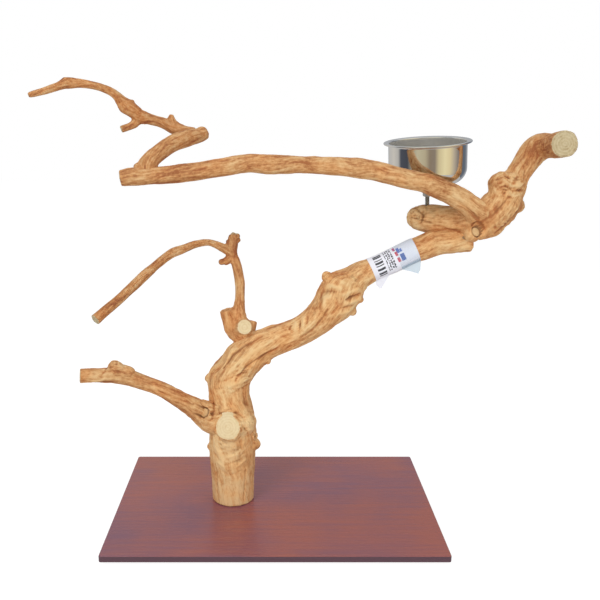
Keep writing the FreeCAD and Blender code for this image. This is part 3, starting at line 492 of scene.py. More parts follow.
def carve(piece, limbs, marks, smooth_zones, moulds):
    """Relief and grain of sand-blasted wood, worked into a limb's skin point by point."""
    mesh = piece.data
    size = sizes()
    points, normals = np.empty((2, len(mesh.vertices) * 3))
    mesh.vertices.foreach_get("co", points)
    mesh.vertex_normals.foreach_get("vector", normals)
    points = points.reshape(-1, 3)
    normals = normals.reshape(-1, 3)

    located = [limb.locate(points) for limb in limbs]
    outness = np.array([entry[1] for entry in located])
    weights = np.exp(-(outness - outness.min(axis=0)) * LIMB_CONTRAST)
    weights /= weights.sum(axis=0)
    owner = outness.argmin(axis=0)

    relief, streak, sawn, ruddy = np.zeros((4, len(points)))
    grain = np.zeros_like(points)
    bend = np.column_stack([noise_at(points / WARP_SIZE, seed) for seed in (41, 42, 43)])
    crumple = noise_at(points / CRUMPLE_SIZE + bend * 0.6, 44)
    for i, (limb, (local, _, radii, nearest, lead)) in enumerate(zip(limbs, located)):
        near = np.flatnonzero(weights[i] > 0.01)
        if not len(near):
            continue
        spot = twisted(local) + bend * WARP
        share = np.clip(radii[near] / FULL_RADIUS, THIN_LIMB_SHARE, THICK_LIMB_SHARE)
        width = share[:, None] ** 0.5
        lumps = noise_at(points[near] / (LUMP_SIZE * width), i + 1)
        flutes = noise_at(spot[near] * FLUTES_TO_A_METRE / width, i + 11)
        fibres = noise_at(spot[near] * FIBRES_TO_A_METRE, i + 21)
        height = size.lump_height * lumps * share + size.flute_height * flutes * share
        height += size.fibre_height * fibres * share ** 0.5 + size.crumple_height * crumple[near] * share
        relief[near] += weights[i, near] * height
        # The streaks follow the flutes and fibres, so grooves are painted darker, as shade, and ridges paler.
        streak[near] += weights[i, near] * (FLUTE_STREAK * flutes + FIBRE_STREAK * fibres)
        mine = owner == i
        grain[mine] = spot[mine]
        ruddy += weights[i] * np.interp(limb.along[nearest] / limb.along[-1], (0, 1), limb.ruddy)
        if limb.sawn:
            end = mine & (nearest == len(limb.middles) - 1) & (lead > -END_DEPTH)
            sawn[end] = 1
            grain[end] = local[end]
    for work in marks:
        work(points, relief, streak)
    for middle, reach in smooth_zones:
        gap = np.linalg.norm(points - middle, axis=1)
        relief *= np.clip(gap / reach - 0.6, 0, 1)
    relief *= 1 - sawn
    points += normals * relief[:, None]
    for mould in moulds:
        points = mould(points, relief)
    mesh.vertices.foreach_set("co", np.clip(points, *np.array(CAD_BOX)).ravel())
    mesh.attributes.new("grain", "FLOAT_VECTOR", "POINT").data.foreach_set("vector", grain.ravel())
    for name, values in (
        ("streak", streak), ("relief", relief / MM), ("fork", 1 - weights.max(axis=0)), ("sawn", sawn),
        ("ruddy", ruddy),
    ):
        mesh.attributes.new(name, "FLOAT", "POINT").data.foreach_set("value", values)
    mesh.update()


def ease_forks(piece, limbs):
    """Smooth the crotches where two limbs of one piece meet."""
    if len(limbs) < 2:
        return
    points = np.empty(len(piece.data.vertices) * 3)
    piece.data.vertices.foreach_get("co", points)
    outness = np.sort(np.array([limb.locate(points.reshape(-1, 3))[1] for limb in limbs]), axis=0)
    nearness = np.clip(FORK_NEARNESS - (outness[1] - outness[0]) * FORK_FALL, 0, 1)
    group = piece.vertex_groups.new(name="forks")
    for index in np.flatnonzero(nearness > 0.05).tolist():
        group.add([index], float(nearness[index]), "REPLACE")
    apply_modifier(piece, "SMOOTH", factor=0.5, iterations=FORK_EASING, vertex_group="forks")
    piece.vertex_groups.clear()


def grown(name, limbs, balls=(), marks=(), smooth_zones=(), moulds=()):
    """One piece of wood: its limbs and knots made one skin, eased at the forks, then carved."""
    piece = join(name, [limb.tube(f"{name}_limb") for limb in limbs] + list(balls))
    facet = sizes().wood_facet
    apply_modifier(piece, "REMESH", mode="VOXEL", voxel_size=facet)
    apply_modifier(piece, "SMOOTH", factor=0.5, iterations=3)
    ease_forks(piece, limbs)
    carve(piece, limbs, marks, smooth_zones, moulds)
    pick(piece)
    bpy.ops.object.shade_smooth_by_angle(angle=SMOOTH_ANGLE)
    finish_piece(piece, "coffee_wood", STAND, name)


def finish_piece(piece, slot, body, *nodes):
    """Give a finished piece the finish of its slot, hang it on its body, and hide the CAD nodes that it
    stands for.
    """
    piece.data.materials.clear()
    piece.data.materials.append(finish_of(slot))
    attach(piece, body)
    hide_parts(*nodes)


# ---------------------------------------------------------------- marks in the wood
#
# A mark changes the relief, in metres, and the streaks, where 1 is palest, round a place in millimetres. Most
# marks paint their hollows and grooves darker, as shade, and their ridges paler.


def unit(direction):
    """Direction with a length of 1."""
    direction = np.array(direction, float)
    return direction / np.linalg.norm(direction)


def gap_to(points, place):
    """Distance in metres of each point from a place in millimetres."""
    return np.linalg.norm(points - np.array(place) * MM, axis=1)


def broken(points, size, seed):
    """Share of a fold that is there, so that folds come and go."""
    return np.clip(0.5 + 1.3 * noise_at(points / (size * MM), seed), 0, 1.3)


def pit(place, radius, depth, lip):
    """Hollow with a raised lip; the hollow is painted darker, as shade, and the lip paler, as light."""
    def work(points, relief, streak):
        gap = gap_to(points, place) / (radius * MM)
        hollow = np.exp(-1.6 * gap**2)
        ring = np.exp(-8 * (gap - 1.3) ** 2)
        relief += depth * MM * (lip * ring - hollow)
        streak += 0.9 * lip * ring - 0.9 * hollow
    return work


def wrinkles(place, along, reach, height, pitch):
    """Folds across the limb, as where a branch pushed out."""
    def work(points, relief, streak):
        lead = (points - np.array(place) * MM) @ unit(along)
        wobble = noise_at(points / (9 * MM), 31) * 5
        wave = np.sin(lead / (pitch * MM) * tau + wobble) * broken(points, 6, 32)
        fade = np.exp(-((gap_to(points, place) / (reach * MM)) ** 2))
        relief += height * MM * wave * fade
        streak += 0.6 * wave * fade
    return work


def ripples(place, inner, reach, height, pitch, below=False):
    """Folds that run round a sawn stub."""
    def work(points, relief, streak):
        gap = gap_to(points, place) - inner * MM
        wobble = noise_at(points / (10 * MM), 33) * 4.5
        wave = np.cos(gap / (pitch * MM) * tau + wobble) * broken(points, 7, 34)
        fade = np.exp(-(gap / (reach * MM)) ** 2)
        if below:
            fade *= np.clip((place[2] * MM - points[:, 2]) / (inner * MM) + 0.4, 0, 1)
        relief += height * MM * wave * fade
        streak += 0.5 * wave * fade
    return work


def crumpled(place, reach, height, size):
    """Patch of warty, crumpled wood."""
    def work(points, relief, streak):
        warts = 0.5 - np.abs(noise_at(points / (size * MM), 35)) * 2.2
        fade = np.exp(-((gap_to(points, place) / (reach * MM)) ** 4))
        relief += height * MM * warts * fade
        streak += 0.7 * warts * fade
    return work


def calm(height, reach, share):
    """Stretch of an upright limb where the grain lies flatter."""
    def work(points, relief, streak):
        lead = np.abs(points[:, 2] - height * MM)
        keep = 1 - share * np.clip(1.6 - lead / (reach * MM), 0, 1)
        relief *= keep
        streak *= 0.5 + 0.5 * keep
    return work


def crack(place, reach, depth, width):
    """Narrow upright furrow, painted darker as shade."""
    def work(points, relief, streak):
        offset = points - np.array(place) * MM
        across = np.linalg.norm(offset[:, :2], axis=1)
        line = np.exp(-(across / (width * MM)) ** 2 - (offset[:, 2] / (reach * MM)) ** 2)
        relief -= depth * MM * line
        streak -= line
    return work


def folds(rows, front):
    """Ridges and grooves along paths seen from the front, on the wood nearer than a y in millimetres; grooves
    are painted darker, as shade, and ridges paler.
    """
    def work(points, relief, streak):
        flat = points[:, (0, 2)]
        share_front = np.clip((front * MM - points[:, 1]) / (6 * MM), 0, 1)
        for height, width, path in rows:
            path = np.array(path, float) * MM
            gap = np.full(len(points), 1.0)
            for first, last in zip(path[:-1], path[1:]):
                run = last - first
                share = np.clip(((flat - first) @ run) / (run @ run), 0, 1)
                gap = np.minimum(gap, np.linalg.norm(flat - first - np.outer(share, run), axis=1))
            line = np.exp(-(gap / (width * MM)) ** 2) * share_front
            relief += height * MM * line
            streak += 0.55 * height * line
    return work


def pale(place, reach, amount):
    """Patch of paler wood where the sand has bared it; the patch on the cup limb is painted light."""
    def work(points, relief, streak):
        gap = gap_to(points, place) / (reach * MM)
        streak += amount * np.exp(-(gap**2))
    return work


# A mould moves the carved points. Round a plug, in millimetres: half of its length, the radius cut away
# behind its face and how deep, the ring of painted shade, and how far behind and before its face the wood is
# pared.
PLUG_HALF = 6
PLUG_CLEAR = 6.4
PLUG_DEPTH = 3.5
PLUG_SHADE_RING = (5.4, 8)
PLUG_BEHIND = 9
PLUG_BEFORE = 14


def plug_hole(node, side, reach, proud, ring=3):
    """Wood pared back round a plug, which stands proud of it, cut away behind its face, with a ring of
    painted shade round it.
    """
    middle = np.mean(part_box(node), axis=0)
    side = unit(side)
    face = middle + side * PLUG_HALF * MM

    def mould(points, relief):
        offset = points - face
        out = offset @ side
        across = np.linalg.norm(offset - np.outer(out, side), axis=1)
        near = (across < reach * MM) & (out > -PLUG_BEHIND * MM) & (out < PLUG_BEFORE * MM)
        rest = np.where(across < PLUG_CLEAR * MM, -PLUG_DEPTH * MM, -proud * MM)
        blend = np.clip((reach * MM - across) / ((reach - PLUG_CLEAR) * MM), 0, 1)
        lowered = np.where(out > rest, (rest - out) * blend, 0)
        painted_shade_ring = near & (across > PLUG_SHADE_RING[0] * MM) & (across < PLUG_SHADE_RING[1] * MM)
        # Painted shade: this ring only lowers the relief that darkens the colour, since the points have
        # already moved.
        relief[painted_shade_ring] -= ring * MM
        return points + np.where(near, lowered, 0)[:, None] * side
    return mould


def nudges(*rows):
    """Wood swollen or pared back round places, by shifts, each over a reach, all in millimetres."""
    def mould(points, relief):
        for place, reach, shift in rows:
            gap = gap_to(points, place) / (reach * MM)
            points = points + np.exp(-(gap**2))[:, None] * np.array(shift) * MM
        return points
    return mould


def above(height):
    """Nothing lower than a height, as where the wood stands on the board."""
    def mould(points, relief):
        points = points.copy()
        points[:, 2] = np.maximum(points[:, 2], height * MM)
        return points
    return mould


# ---------------------------------------------------------------- finishes

# Settings of nodes that come often. A colour Mix takes its share at input 0 and its colours at inputs 6
# and 7, and gives its colour at output 2.
TIMES = {"operation": "MULTIPLY"}
TIMES_PLUS = {"operation": "MULTIPLY_ADD"}
LESS = {"operation": "SUBTRACT"}
LARGER = {"operation": "MAXIMUM"}
OVER = {"operation": "GREATER_THAN"}
UNDER = {"operation": "LESS_THAN"}
BLEND = {"data_type": "RGBA"}
TINTED = {"data_type": "RGBA", "blend_type": "MULTIPLY"}
COLOUR_OUT = 2


def add_node(tree, kind, settings=None, out=0, **inputs):
    """Add a node with its settings and links, and return one of its outputs.

    An input has its name, or its number after a low line, and is a number, a colour or an output. The
    stops of a colour ramp are a setting too.
    """
    made = tree.nodes.new(f"ShaderNode{kind}")
    for name, value in (settings or {}).items():
        if name != "stops":
            setattr(made, name, value)
            continue
        elements = made.color_ramp.elements
        while len(elements) < len(value):
            elements.new(0.5)
        for element, (position, shade) in zip(elements, value):
            element.position = position
            element.color = (*shade, 1)
    for name, value in inputs.items():
        socket = made.inputs[int(name[1:])] if name[1:].isdigit() else made.inputs[name.replace("_", " ")]
        if isinstance(value, bpy.types.NodeSocket):
            tree.links.new(value, socket)
        elif socket.type == "RGBA":
            socket.default_value = (*value, 1)
        else:
            socket.default_value = value
    return made.outputs[out] if made.outputs else None


def new_finish(name, surface):
    """Material from the function that adds its nodes and returns its shader."""
    finish = bpy.data.materials.new(name)
    finish.use_nodes = True
    finish.node_tree.nodes.clear()
    add = partial(add_node, finish.node_tree)
    add("OutputMaterial", Surface=surface(add, colours()))
    return finish


def stretched_noise(add, place, scales, detail, roughness):
    """Noise with a scale of its own along each axis, in grains to a metre."""
    spread = add("VectorMath", TIMES, _0=place, _1=scales)
    return add("TexNoise", Vector=spread, Scale=1, Detail=detail, Roughness=roughness)


def weighed(add, base, *parts):
    """Base and parts added up, each part times its share."""
    for part, share in parts:
        base = add("Math", TIMES_PLUS, _0=part, _1=share, _2=base)
    return base


def coffee_wood(add, tint):
    """Sand-blasted coffee wood without bark: matt, honey and umber streaks that follow the grain. Carved
    creases and grooves are painted darker, as shade, and ridges paler.

    Its real fibres, about 0.1 mm wide, are too fine to show and are drawn about 1.5 mm wide.
    """
    grain = add("Attribute", {"attribute_name": "grain"}, "Vector")
    streak, relief, fork, sawn, ruddy = (
        add("Attribute", {"attribute_name": name}, "Fac")
        for name in ("streak", "relief", "fork", "sawn", "ruddy")
    )
    place = add("TexCoord", out="Object")

    def swing(at, scales, detail, roughness):
        """Noise about half a unit either side of nothing."""
        return add("Math", LESS, _0=stretched_noise(add, at, scales, detail, roughness), _1=0.5)

    # Across and along the grain: fibres 1.5 by 14 mm, flecks 2.6 by 17 mm, bands 9 by 50 mm. Then
    # blotches of 5 mm, patches of 45 mm and grit of 1 mm.
    fibre = swing(grain, (650, 650, 70), 4, 0.65)
    fleck = swing(grain, (390, 390, 60), 4, 0.7)
    band = swing(grain, (110, 110, 20), 3, 0.55)
    blotch = swing(place, (210, 210, 210), 3, 0.6)
    patch = swing(place, (22, 22, 22), 2, 0.5)
    grit = swing(place, (900, 900, 900), 2, 0.6)
    clear_of_fork = add("Math", {**TIMES_PLUS, "use_clamp": True}, _0=fork, _1=-1.6, _2=1)
    along = add("Math", TIMES, _0=weighed(add, fibre, (fleck, 1.35), (band, 0.6)), _1=clear_of_fork)
    tone = weighed(add, 0.5, (along, 0.8), (blotch, 0.75), (streak, 0.42), (patch, 0.7))
    young = add("ValToRGB", {"stops": [(0.16, tint.umber), (0.5, tint.honey), (0.84, tint.cream)]}, Fac=tone)
    old = add("ValToRGB", {
        "stops": [(0.16, tint.old_umber), (0.5, tint.old_honey), (0.88, tint.old_cream)],
    }, Fac=tone)
    wood = add("Mix", BLEND, COLOUR_OUT, _0=ruddy, _6=young, _7=old)
    warm = add("MapRange", Value=swing(place, (34, 34, 34), 3, 0.55), From_Min=-0.06, From_Max=0.2, To_Min=0,
               To_Max=0.9)
    wood = add("Mix", TINTED, COLOUR_OUT, _0=warm, _6=wood, _7=(1, 0.82, 0.66))
    # Painted shade: the deeper the carved relief, the more the wood is darkened towards the colour for shaded
    # creases.
    depth = add("MapRange", Value=relief, From_Min=-0.6, From_Max=-2.4, To_Min=0, To_Max=0.8)
    wood_with_crease_shade = add("Mix", BLEND, COLOUR_OUT, _0=depth, _6=wood, _7=tint.crease_shade)

    flat = add("VectorMath", TIMES, _0=grain, _1=(1, 1, 0))
    rings = add("TexWave", {"wave_type": "RINGS", "rings_direction": "Z"}, "Fac", Vector=flat, Scale=85,
                Distortion=2.5, Detail=2, Detail_Scale=1.2)
    rings = add("Math", LESS, _0=rings, _1=0.5)
    end_tone = weighed(add, 0.5, (rings, 0.22), (blotch, 0.9), (patch, 0.8))
    fresh, weathered = (
        add("ValToRGB", {"stops": [(0.1, low), (0.36, middle), (0.9, linear(high))]}, Fac=end_tone)
        for low, middle, high in ((tint.honey, tint.sawn, "EFDBB2"), (tint.crease_shade, tint.old_sawn, "D2C4A0"))
    )
    end_grain = add("Mix", BLEND, COLOUR_OUT, _0=ruddy, _6=fresh, _7=weathered)
    shade = add("Mix", BLEND, COLOUR_OUT, _0=sawn, _6=wood_with_crease_shade, _7=end_grain)
    skin = weighed(add, fibre, (grit, 0.35), (fleck, 0.8))
    bump = add("Bump", Height=skin, Strength=0.8, Distance=0.7 * MM)
    return add("BsdfPrincipled", Base_Color=shade, Roughness=0.78, IOR=1.5, Normal=bump)


def plug_wood(add, tint):
    """Turned plug of pale wood, end grain outwards, with the 1.5 mm grit of a saw cut and 8 mm patches."""
    place = add("TexCoord", out="Object")
    grit = add("TexNoise", Vector=place, Scale=650, Detail=3, Roughness=0.6)
    patch = add("TexNoise", Vector=place, Scale=120, Detail=2, Roughness=0.5)
    shade = add("ValToRGB", {
        "stops": [(0.3, [c * 0.85 for c in tint.honey]), (0.7, [c * 0.95 for c in tint.cream])],
    }, Fac=patch)
    bump = add("Bump", Height=grit, Strength=0.5, Distance=0.4 * MM)
    return add("BsdfPrincipled", Base_Color=shade, Roughness=0.8, IOR=1.5, Normal=bump)


def stained_plywood(add, tint):
    """Plywood stained red-brown under a satin varnish: faint grain 7 mm wide along the board, clouds of
    170 mm, soft gloss and a darker upright edge, partly its own colour and partly painted shade."""
    place = add("TexCoord", out="Object")
    grain = stretched_noise(add, place, (7, 150, 150), 5, 0.65)
    cloud = add("TexNoise", Vector=place, Scale=6, Detail=3, Roughness=0.55)
    stain = weighed(add, cloud, (grain, 0.55))
    face = add("ValToRGB", {"stops": [(0.55, tint.board_dark), (0.95, tint.board_red)]}, Fac=stain)
    # The upright faces are darkened: partly the edge's own colour, partly painted shade.
    facing = add("SeparateXYZ", out="Z", Vector=add("TexCoord", out="Normal"))
    level = add("Math", {"operation": "ABSOLUTE"}, _0=facing)
    edge = add("MapRange", Value=level, From_Min=0.75, From_Max=0.25)
    shade = add("Mix", BLEND, COLOUR_OUT, _0=edge, _6=face, _7=tint.board_edge_and_shade)
    bump = add("Bump", Height=grain, Strength=0.12, Distance=0.15 * MM)
    rough = add("MapRange", Value=grain, To_Min=0.22, To_Max=0.32)
    return add("BsdfPrincipled", Base_Color=shade, Roughness=rough, IOR=1.5, Normal=bump)


def steel(add, shade, roughness, lines_to_a_metre, line_depth, used=False):
    """Steel with faint turning lines, their depth in millimetres. Where it is used, as in the cup, its
    inside is satin."""
    lines = stretched_noise(add, add("TexCoord", out="Object"), (60, 60, lines_to_a_metre), 3, 0.6)
    rough = add("MapRange", Value=lines, To_Min=roughness * 0.7, To_Max=roughness * 1.4)
    metal = 1
    if used:
        inside = add("Attribute", {"attribute_name": "inside"}, "Fac")
        rough = weighed(add, rough, (inside, 0.05))
        metal = weighed(add, 1, (inside, -0.27))
    bump = add("Bump", Height=lines, Strength=0.2, Distance=line_depth * MM)
    return add("BsdfPrincipled", Base_Color=shade, Metallic=metal, Roughness=rough, Normal=bump)


def zinc_plated_steel(add, tint):
    """Zinc-plated screws: pale grey and satin."""
    return steel(add, tint.zinc, 0.34, 900, 0.05)


def turned_steel(add, tint):
    """Stainless steel as it was turned: greyer than the cup, with fine lines round it."""
    return steel(add, [c * 0.62 for c in tint.steel], 0.22, 1400, 0.04)


def polished_steel(add, tint):
    """Polished stainless steel: mirror bright, with the faintest lines."""
    return steel(add, tint.steel, 0.06, 260, 0.004, used=True)


def moulded_rubber(add, tint):
    """Black moulded rubber: dull, with a fine grain of 0.8 mm from the mould."""
    grit = add("TexNoise", Vector=add("TexCoord", out="Object"), Scale=1200, Detail=2, Roughness=0.5)
    bump = add("Bump", Height=grit, Strength=0.3, Distance=0.1 * MM)
    return add("BsdfPrincipled", Base_Color=tint.rubber, Roughness=0.7, IOR=1.5, Normal=bump)


# Plain patches of colour on the label: from and to along the limb, then round it, in millimetres.
LABEL_PATCHES = [
    (36.5, 40.0, 62.0, 69.0, "B8487A"), (37.5, 41.2, 71.2, 77.5, "D03A50"),
    (41.2, 45.2, 66.0, 74.5, "4A68BE"), (42.8, 48.8, 77.0, 87.0, "2F56B0"),
    (37.5, 41.2, 80.0, 86.5, "D03A50"), (45.5, 48.5, 69.0, 74.5, "5A78C8"),
]


def coated_paper(add, tint):
    """White coated paper with a block of plain bars, rows of grey dashes and patches of colour."""
    sheet = add("Attribute", {"attribute_name": "sheet"}, "Vector")
    u = add("SeparateXYZ", out="X", Vector=sheet)
    v = add("SeparateXYZ", out="Y", Vector=sheet)

    def within(share, low_u, high_u, low_v, high_v):
        """Share inside a block of the sheet, in millimetres along the limb and round it, and 0 outside."""
        limits = ((OVER, u, low_u), (UNDER, u, high_u), (OVER, v, low_v), (UNDER, v, high_v))
        for test, value, limit in limits:
            share = add("Math", TIMES, _0=share, _1=add("Math", test, _0=value, _1=limit * MM))
        return share

    bars = add("TexNoise", {"noise_dimensions": "1D"}, W=v, Scale=330, Detail=0)
    bars = within(add("Math", OVER, _0=bars, _1=0.5), 7, 18.5, 61, 95)
    row = add("Math", {"operation": "PINGPONG"}, _0=u, _1=1.6 * MM)
    spots = add("VectorMath", TIMES, _0=add("CombineXYZ", X=u, Y=v), _1=(310, 420, 1))
    dashes = add("TexNoise", {"noise_dimensions": "2D"}, Vector=spots, Scale=1, Detail=0)
    dashes = add("Math", TIMES, _0=add("Math", OVER, _0=dashes, _1=0.45),
                 _1=add("Math", UNDER, _0=row, _1=1.1 * MM))
    dashes = within(dashes, 22, 34, 60, 92)
    shade = add("Mix", BLEND, COLOUR_OUT, _0=bars, _6=tint.paper, _7=tint.ink)
    shade = add("Mix", BLEND, COLOUR_OUT, _0=dashes, _6=shade, _7=linear("383B48"))
    for *block, code in LABEL_PATCHES:
        shade = add("Mix", BLEND, COLOUR_OUT, _0=within(1, *block), _6=shade, _7=linear(code))
    return add("BsdfPrincipled", Base_Color=shade, Roughness=0.42, IOR=1.5)


def clear_film(add, tint):
    """Clear film: glossy, nearly unseen on the paper and faintly blue where it hangs loose."""
    sheet = add("Attribute", {"attribute_name": "sheet"}, "Vector")
    loose = add("MapRange", Value=add("SeparateXYZ", out="Y", Vector=sheet), From_Min=96 * MM,
                From_Max=100 * MM, To_Min=0.1, To_Max=0.42)
    return add("BsdfPrincipled", Base_Color=tint.film, Roughness=0.16, IOR=1.46, Alpha=loose)


SURFACES = {
    "coffee_wood": ("sand-blasted coffee wood", coffee_wood),
    "plug_wood": ("sawn plug wood", plug_wood),
    "stained_board": ("stained plywood", stained_plywood),
    "foot_rubber": ("moulded rubber", moulded_rubber),
    "screw_steel": ("zinc-plated steel", zinc_plated_steel),
    "plain_steel": ("turned stainless steel", turned_steel),
    "polished_steel": ("polished stainless steel", polished_steel),
    "label_paper": ("coated label paper", coated_paper),
    "clear_film": ("clear label film", clear_film),
}
FINISHES = {}


def finish_of(slot):
    """Material of a slot, made once."""
    if slot not in FINISHES:
        FINISHES[slot] = new_finish(*SURFACES[slot])
    return FINISHES[slot]


def dress_node(name, slot):
    """Give a CAD node that stays its finish."""
    for material_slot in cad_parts[name].material_slots:
        material_slot.material = finish_of(slot)


# ---------------------------------------------------------------- fittings


def eased_copy(node, slot, body, width):
    """CAD node with its sharp edges eased and its round faces smoothed."""
    piece = bpy.data.objects.new(node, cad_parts[node].data.copy())
    bpy.context.collection.objects.link(piece)
    pick(piece)
    bpy.ops.object.mode_set(mode="EDIT")
    bpy.ops.mesh.select_all(action="SELECT")
    bpy.ops.mesh.remove_doubles(threshold=0.002 * MM)
    bpy.ops.mesh.tris_convert_to_quads()
    bpy.ops.object.mode_set(mode="OBJECT")
    apply_modifier(piece, "BEVEL", width=width * MM, segments=3, limit_method="ANGLE",
                   angle_limit=radians(35), harden_normals=False)
    bpy.ops.object.shade_smooth_by_angle(angle=radians(32))
    finish_piece(piece, slot, body, node)


# Lean of the stud, and its axis.
STUD_LEAN_LEFT = radians(3.3)
STUD_LEAN_FORWARD = radians(5.6)
STUD_AXIS = Vector((
    -sin(STUD_LEAN_LEFT), -sin(STUD_LEAN_FORWARD) * cos(STUD_LEAN_LEFT),
    cos(STUD_LEAN_FORWARD) * cos(STUD_LEAN_LEFT),
))

# The stud in millimetres: its diameter, and its ends below and above the cup limb's surface. Then the depth
# of its thread to a pitch of 1.
STUD_DIAMETER = 6.35
STUD_SUNK = 26
STUD_TOP = 27.9
THREAD_DEPTH = 0.61

# Sizes of the bowl in millimetres.
BOWL_ABOVE_LIMB = 29.4
BOWL_RADIUS = 53
BOWL_CORNER = 22
BOWL_HEIGHT = 58
BOWL_WALL = 0.9
RIM_RADIUS = 59.5
TURNED_SIDES = 128


def stud_place(distance):
    """Placement on the stud's axis, a distance in millimetres above the cup limb."""
    reach, girth, rows = CUP_LIMB_LINE
    *place, share = rows[STUD_ROUND]
    surface = crown_middle() + Vector(place) * (reach / 100) + STUD_AXIS * (girth * share / 200)
    turn = STUD_AXIS.to_track_quat("Z", "Y").to_matrix().to_4x4()
    return Matrix.Translation((surface + STUD_AXIS * distance) * MM) @ turn


def arc(middle, radius, first, last, steps):
    """Points of an arc in a profile, angles in degrees."""
    return [
        (middle[0] + radius * cos(radians(a)), middle[1] + radius * sin(radians(a)))
        for a in np.linspace(first, last, steps)
    ]


def bowl_profile():
    """Section of the bowl: outside from its middle, over its rolled rim, and down the inside."""
    bead = sizes().rim_bead / MM / 2
    corner = (BOWL_RADIUS - BOWL_CORNER, BOWL_CORNER)
    inner = BOWL_RADIUS - BOWL_WALL
    flat = (0.4, 6, 14, 24)
    outside = [(r, 0) for r in flat] + arc(corner, BOWL_CORNER, -90, 0, 18)
    outside += [(BOWL_RADIUS, z) for z in (34, 46, 52)]
    neck = arc((54.6, 53.6), 1.6, 180, 92, 6)
    roll = arc((RIM_RADIUS - bead, BOWL_HEIGHT - bead), bead, -90, 90, 10)
    shelf = [(56.5, 57.7), (54.6, 57.4)] + arc((54, 55.6), 1.9, 110, 180, 7)
    inside = [(inner, 50), (inner, 36)] + arc(corner, BOWL_CORNER - BOWL_WALL, 0, -90, 18)
    inside += [(r, BOWL_WALL) for r in reversed(flat)]
    return outside + neck + roll + shelf + inside


def turned_piece(name, profile, place):
    """Closed turned piece: a ring, extruded and scaled through (radius, height) pairs in millimetres."""
    pick()
    radius, height = profile[0]
    bpy.ops.mesh.primitive_circle_add(
        vertices=TURNED_SIDES, radius=radius * MM, fill_type="NOTHING", location=(0, 0, height * MM),
    )
    piece = bpy.context.object
    piece.name = piece.data.name = name
    settle(piece)
    bpy.ops.object.mode_set(mode="EDIT")
    bpy.ops.mesh.select_all(action="SELECT")
    for next_radius, next_height in profile[1:]:
        bpy.ops.mesh.extrude_region_move(
            TRANSFORM_OT_translate={"value": (0, 0, (next_height - height) * MM)},
        )
        share = next_radius / radius
        bpy.ops.transform.resize(value=(share, share, 1), center_override=(0, 0, 0))
        radius, height = next_radius, next_height
    bpy.ops.mesh.select_all(action="DESELECT")
    bpy.ops.mesh.select_mode(type="EDGE")
    bpy.ops.mesh.select_non_manifold()
    bpy.ops.mesh.edge_face_add()
    bpy.ops.mesh.select_mode(type="VERT")
    bpy.ops.mesh.select_all(action="SELECT")
    bpy.ops.mesh.normals_make_consistent(inside=False)
    bpy.ops.object.mode_set(mode="OBJECT")
    piece.matrix_world = place
    settle(piece)
    bpy.ops.object.shade_smooth_by_angle(angle=SMOOTH_ANGLE)
    return piece


def threaded_rod(name, diameter, pitch, low, high, place):
    """Rod with a real helical thread, cut square at its ends."""
    crest = diameter / 2
    root = crest - THREAD_DEPTH * pitch
    profile = [(root, 0), (crest, 0.42 * pitch), (crest, 0.55 * pitch), (root, 0.95 * pitch), (root, pitch)]
    pick()
    mesh = bpy.data.meshes.new(name)
    mesh.from_pydata([(r * MM, 0, (z + low - pitch) * MM) for r, z in profile],
                     [(i, i + 1) for i in range(len(profile) - 1)], [])
    piece = bpy.data.objects.new(name, mesh)
    bpy.context.collection.objects.link(piece)
    apply_modifier(piece, "SCREW", screw_offset=pitch * MM, iterations=ceil((high - low) / pitch) + 2,
                   steps=20, render_steps=20, use_merge_vertices=True, merge_threshold=0.0001 * MM)
    bpy.ops.object.mode_set(mode="EDIT")
    for height, direction in ((low, 1), (high, -1)):
        bpy.ops.mesh.select_all(action="SELECT")
        bpy.ops.mesh.bisect(plane_co=(0, 0, height * MM), plane_no=(0, 0, -direction), use_fill=True,
                            clear_outer=True)
    bpy.ops.mesh.select_all(action="SELECT")
    bpy.ops.mesh.normals_make_consistent(inside=False)
    bpy.ops.object.mode_set(mode="OBJECT")
    piece.matrix_world = place
    settle(piece)
    bpy.ops.object.shade_smooth_by_angle(angle=radians(32))
    return piece


# The sheets round the trunk: angles from the front towards the top, the way that the front faces, the
# thickness in millimetres, and the faces round the trunk and in the hanging end.
SHEET_START = radians(-72)
SHEET_WRAP = radians(350)
SHEET_FRONT = Vector((0.05, -0.93, 0.2))
SHEET_THICKNESS = 0.3
SHEET_AROUND = 72
SHEET_HANGING = 12


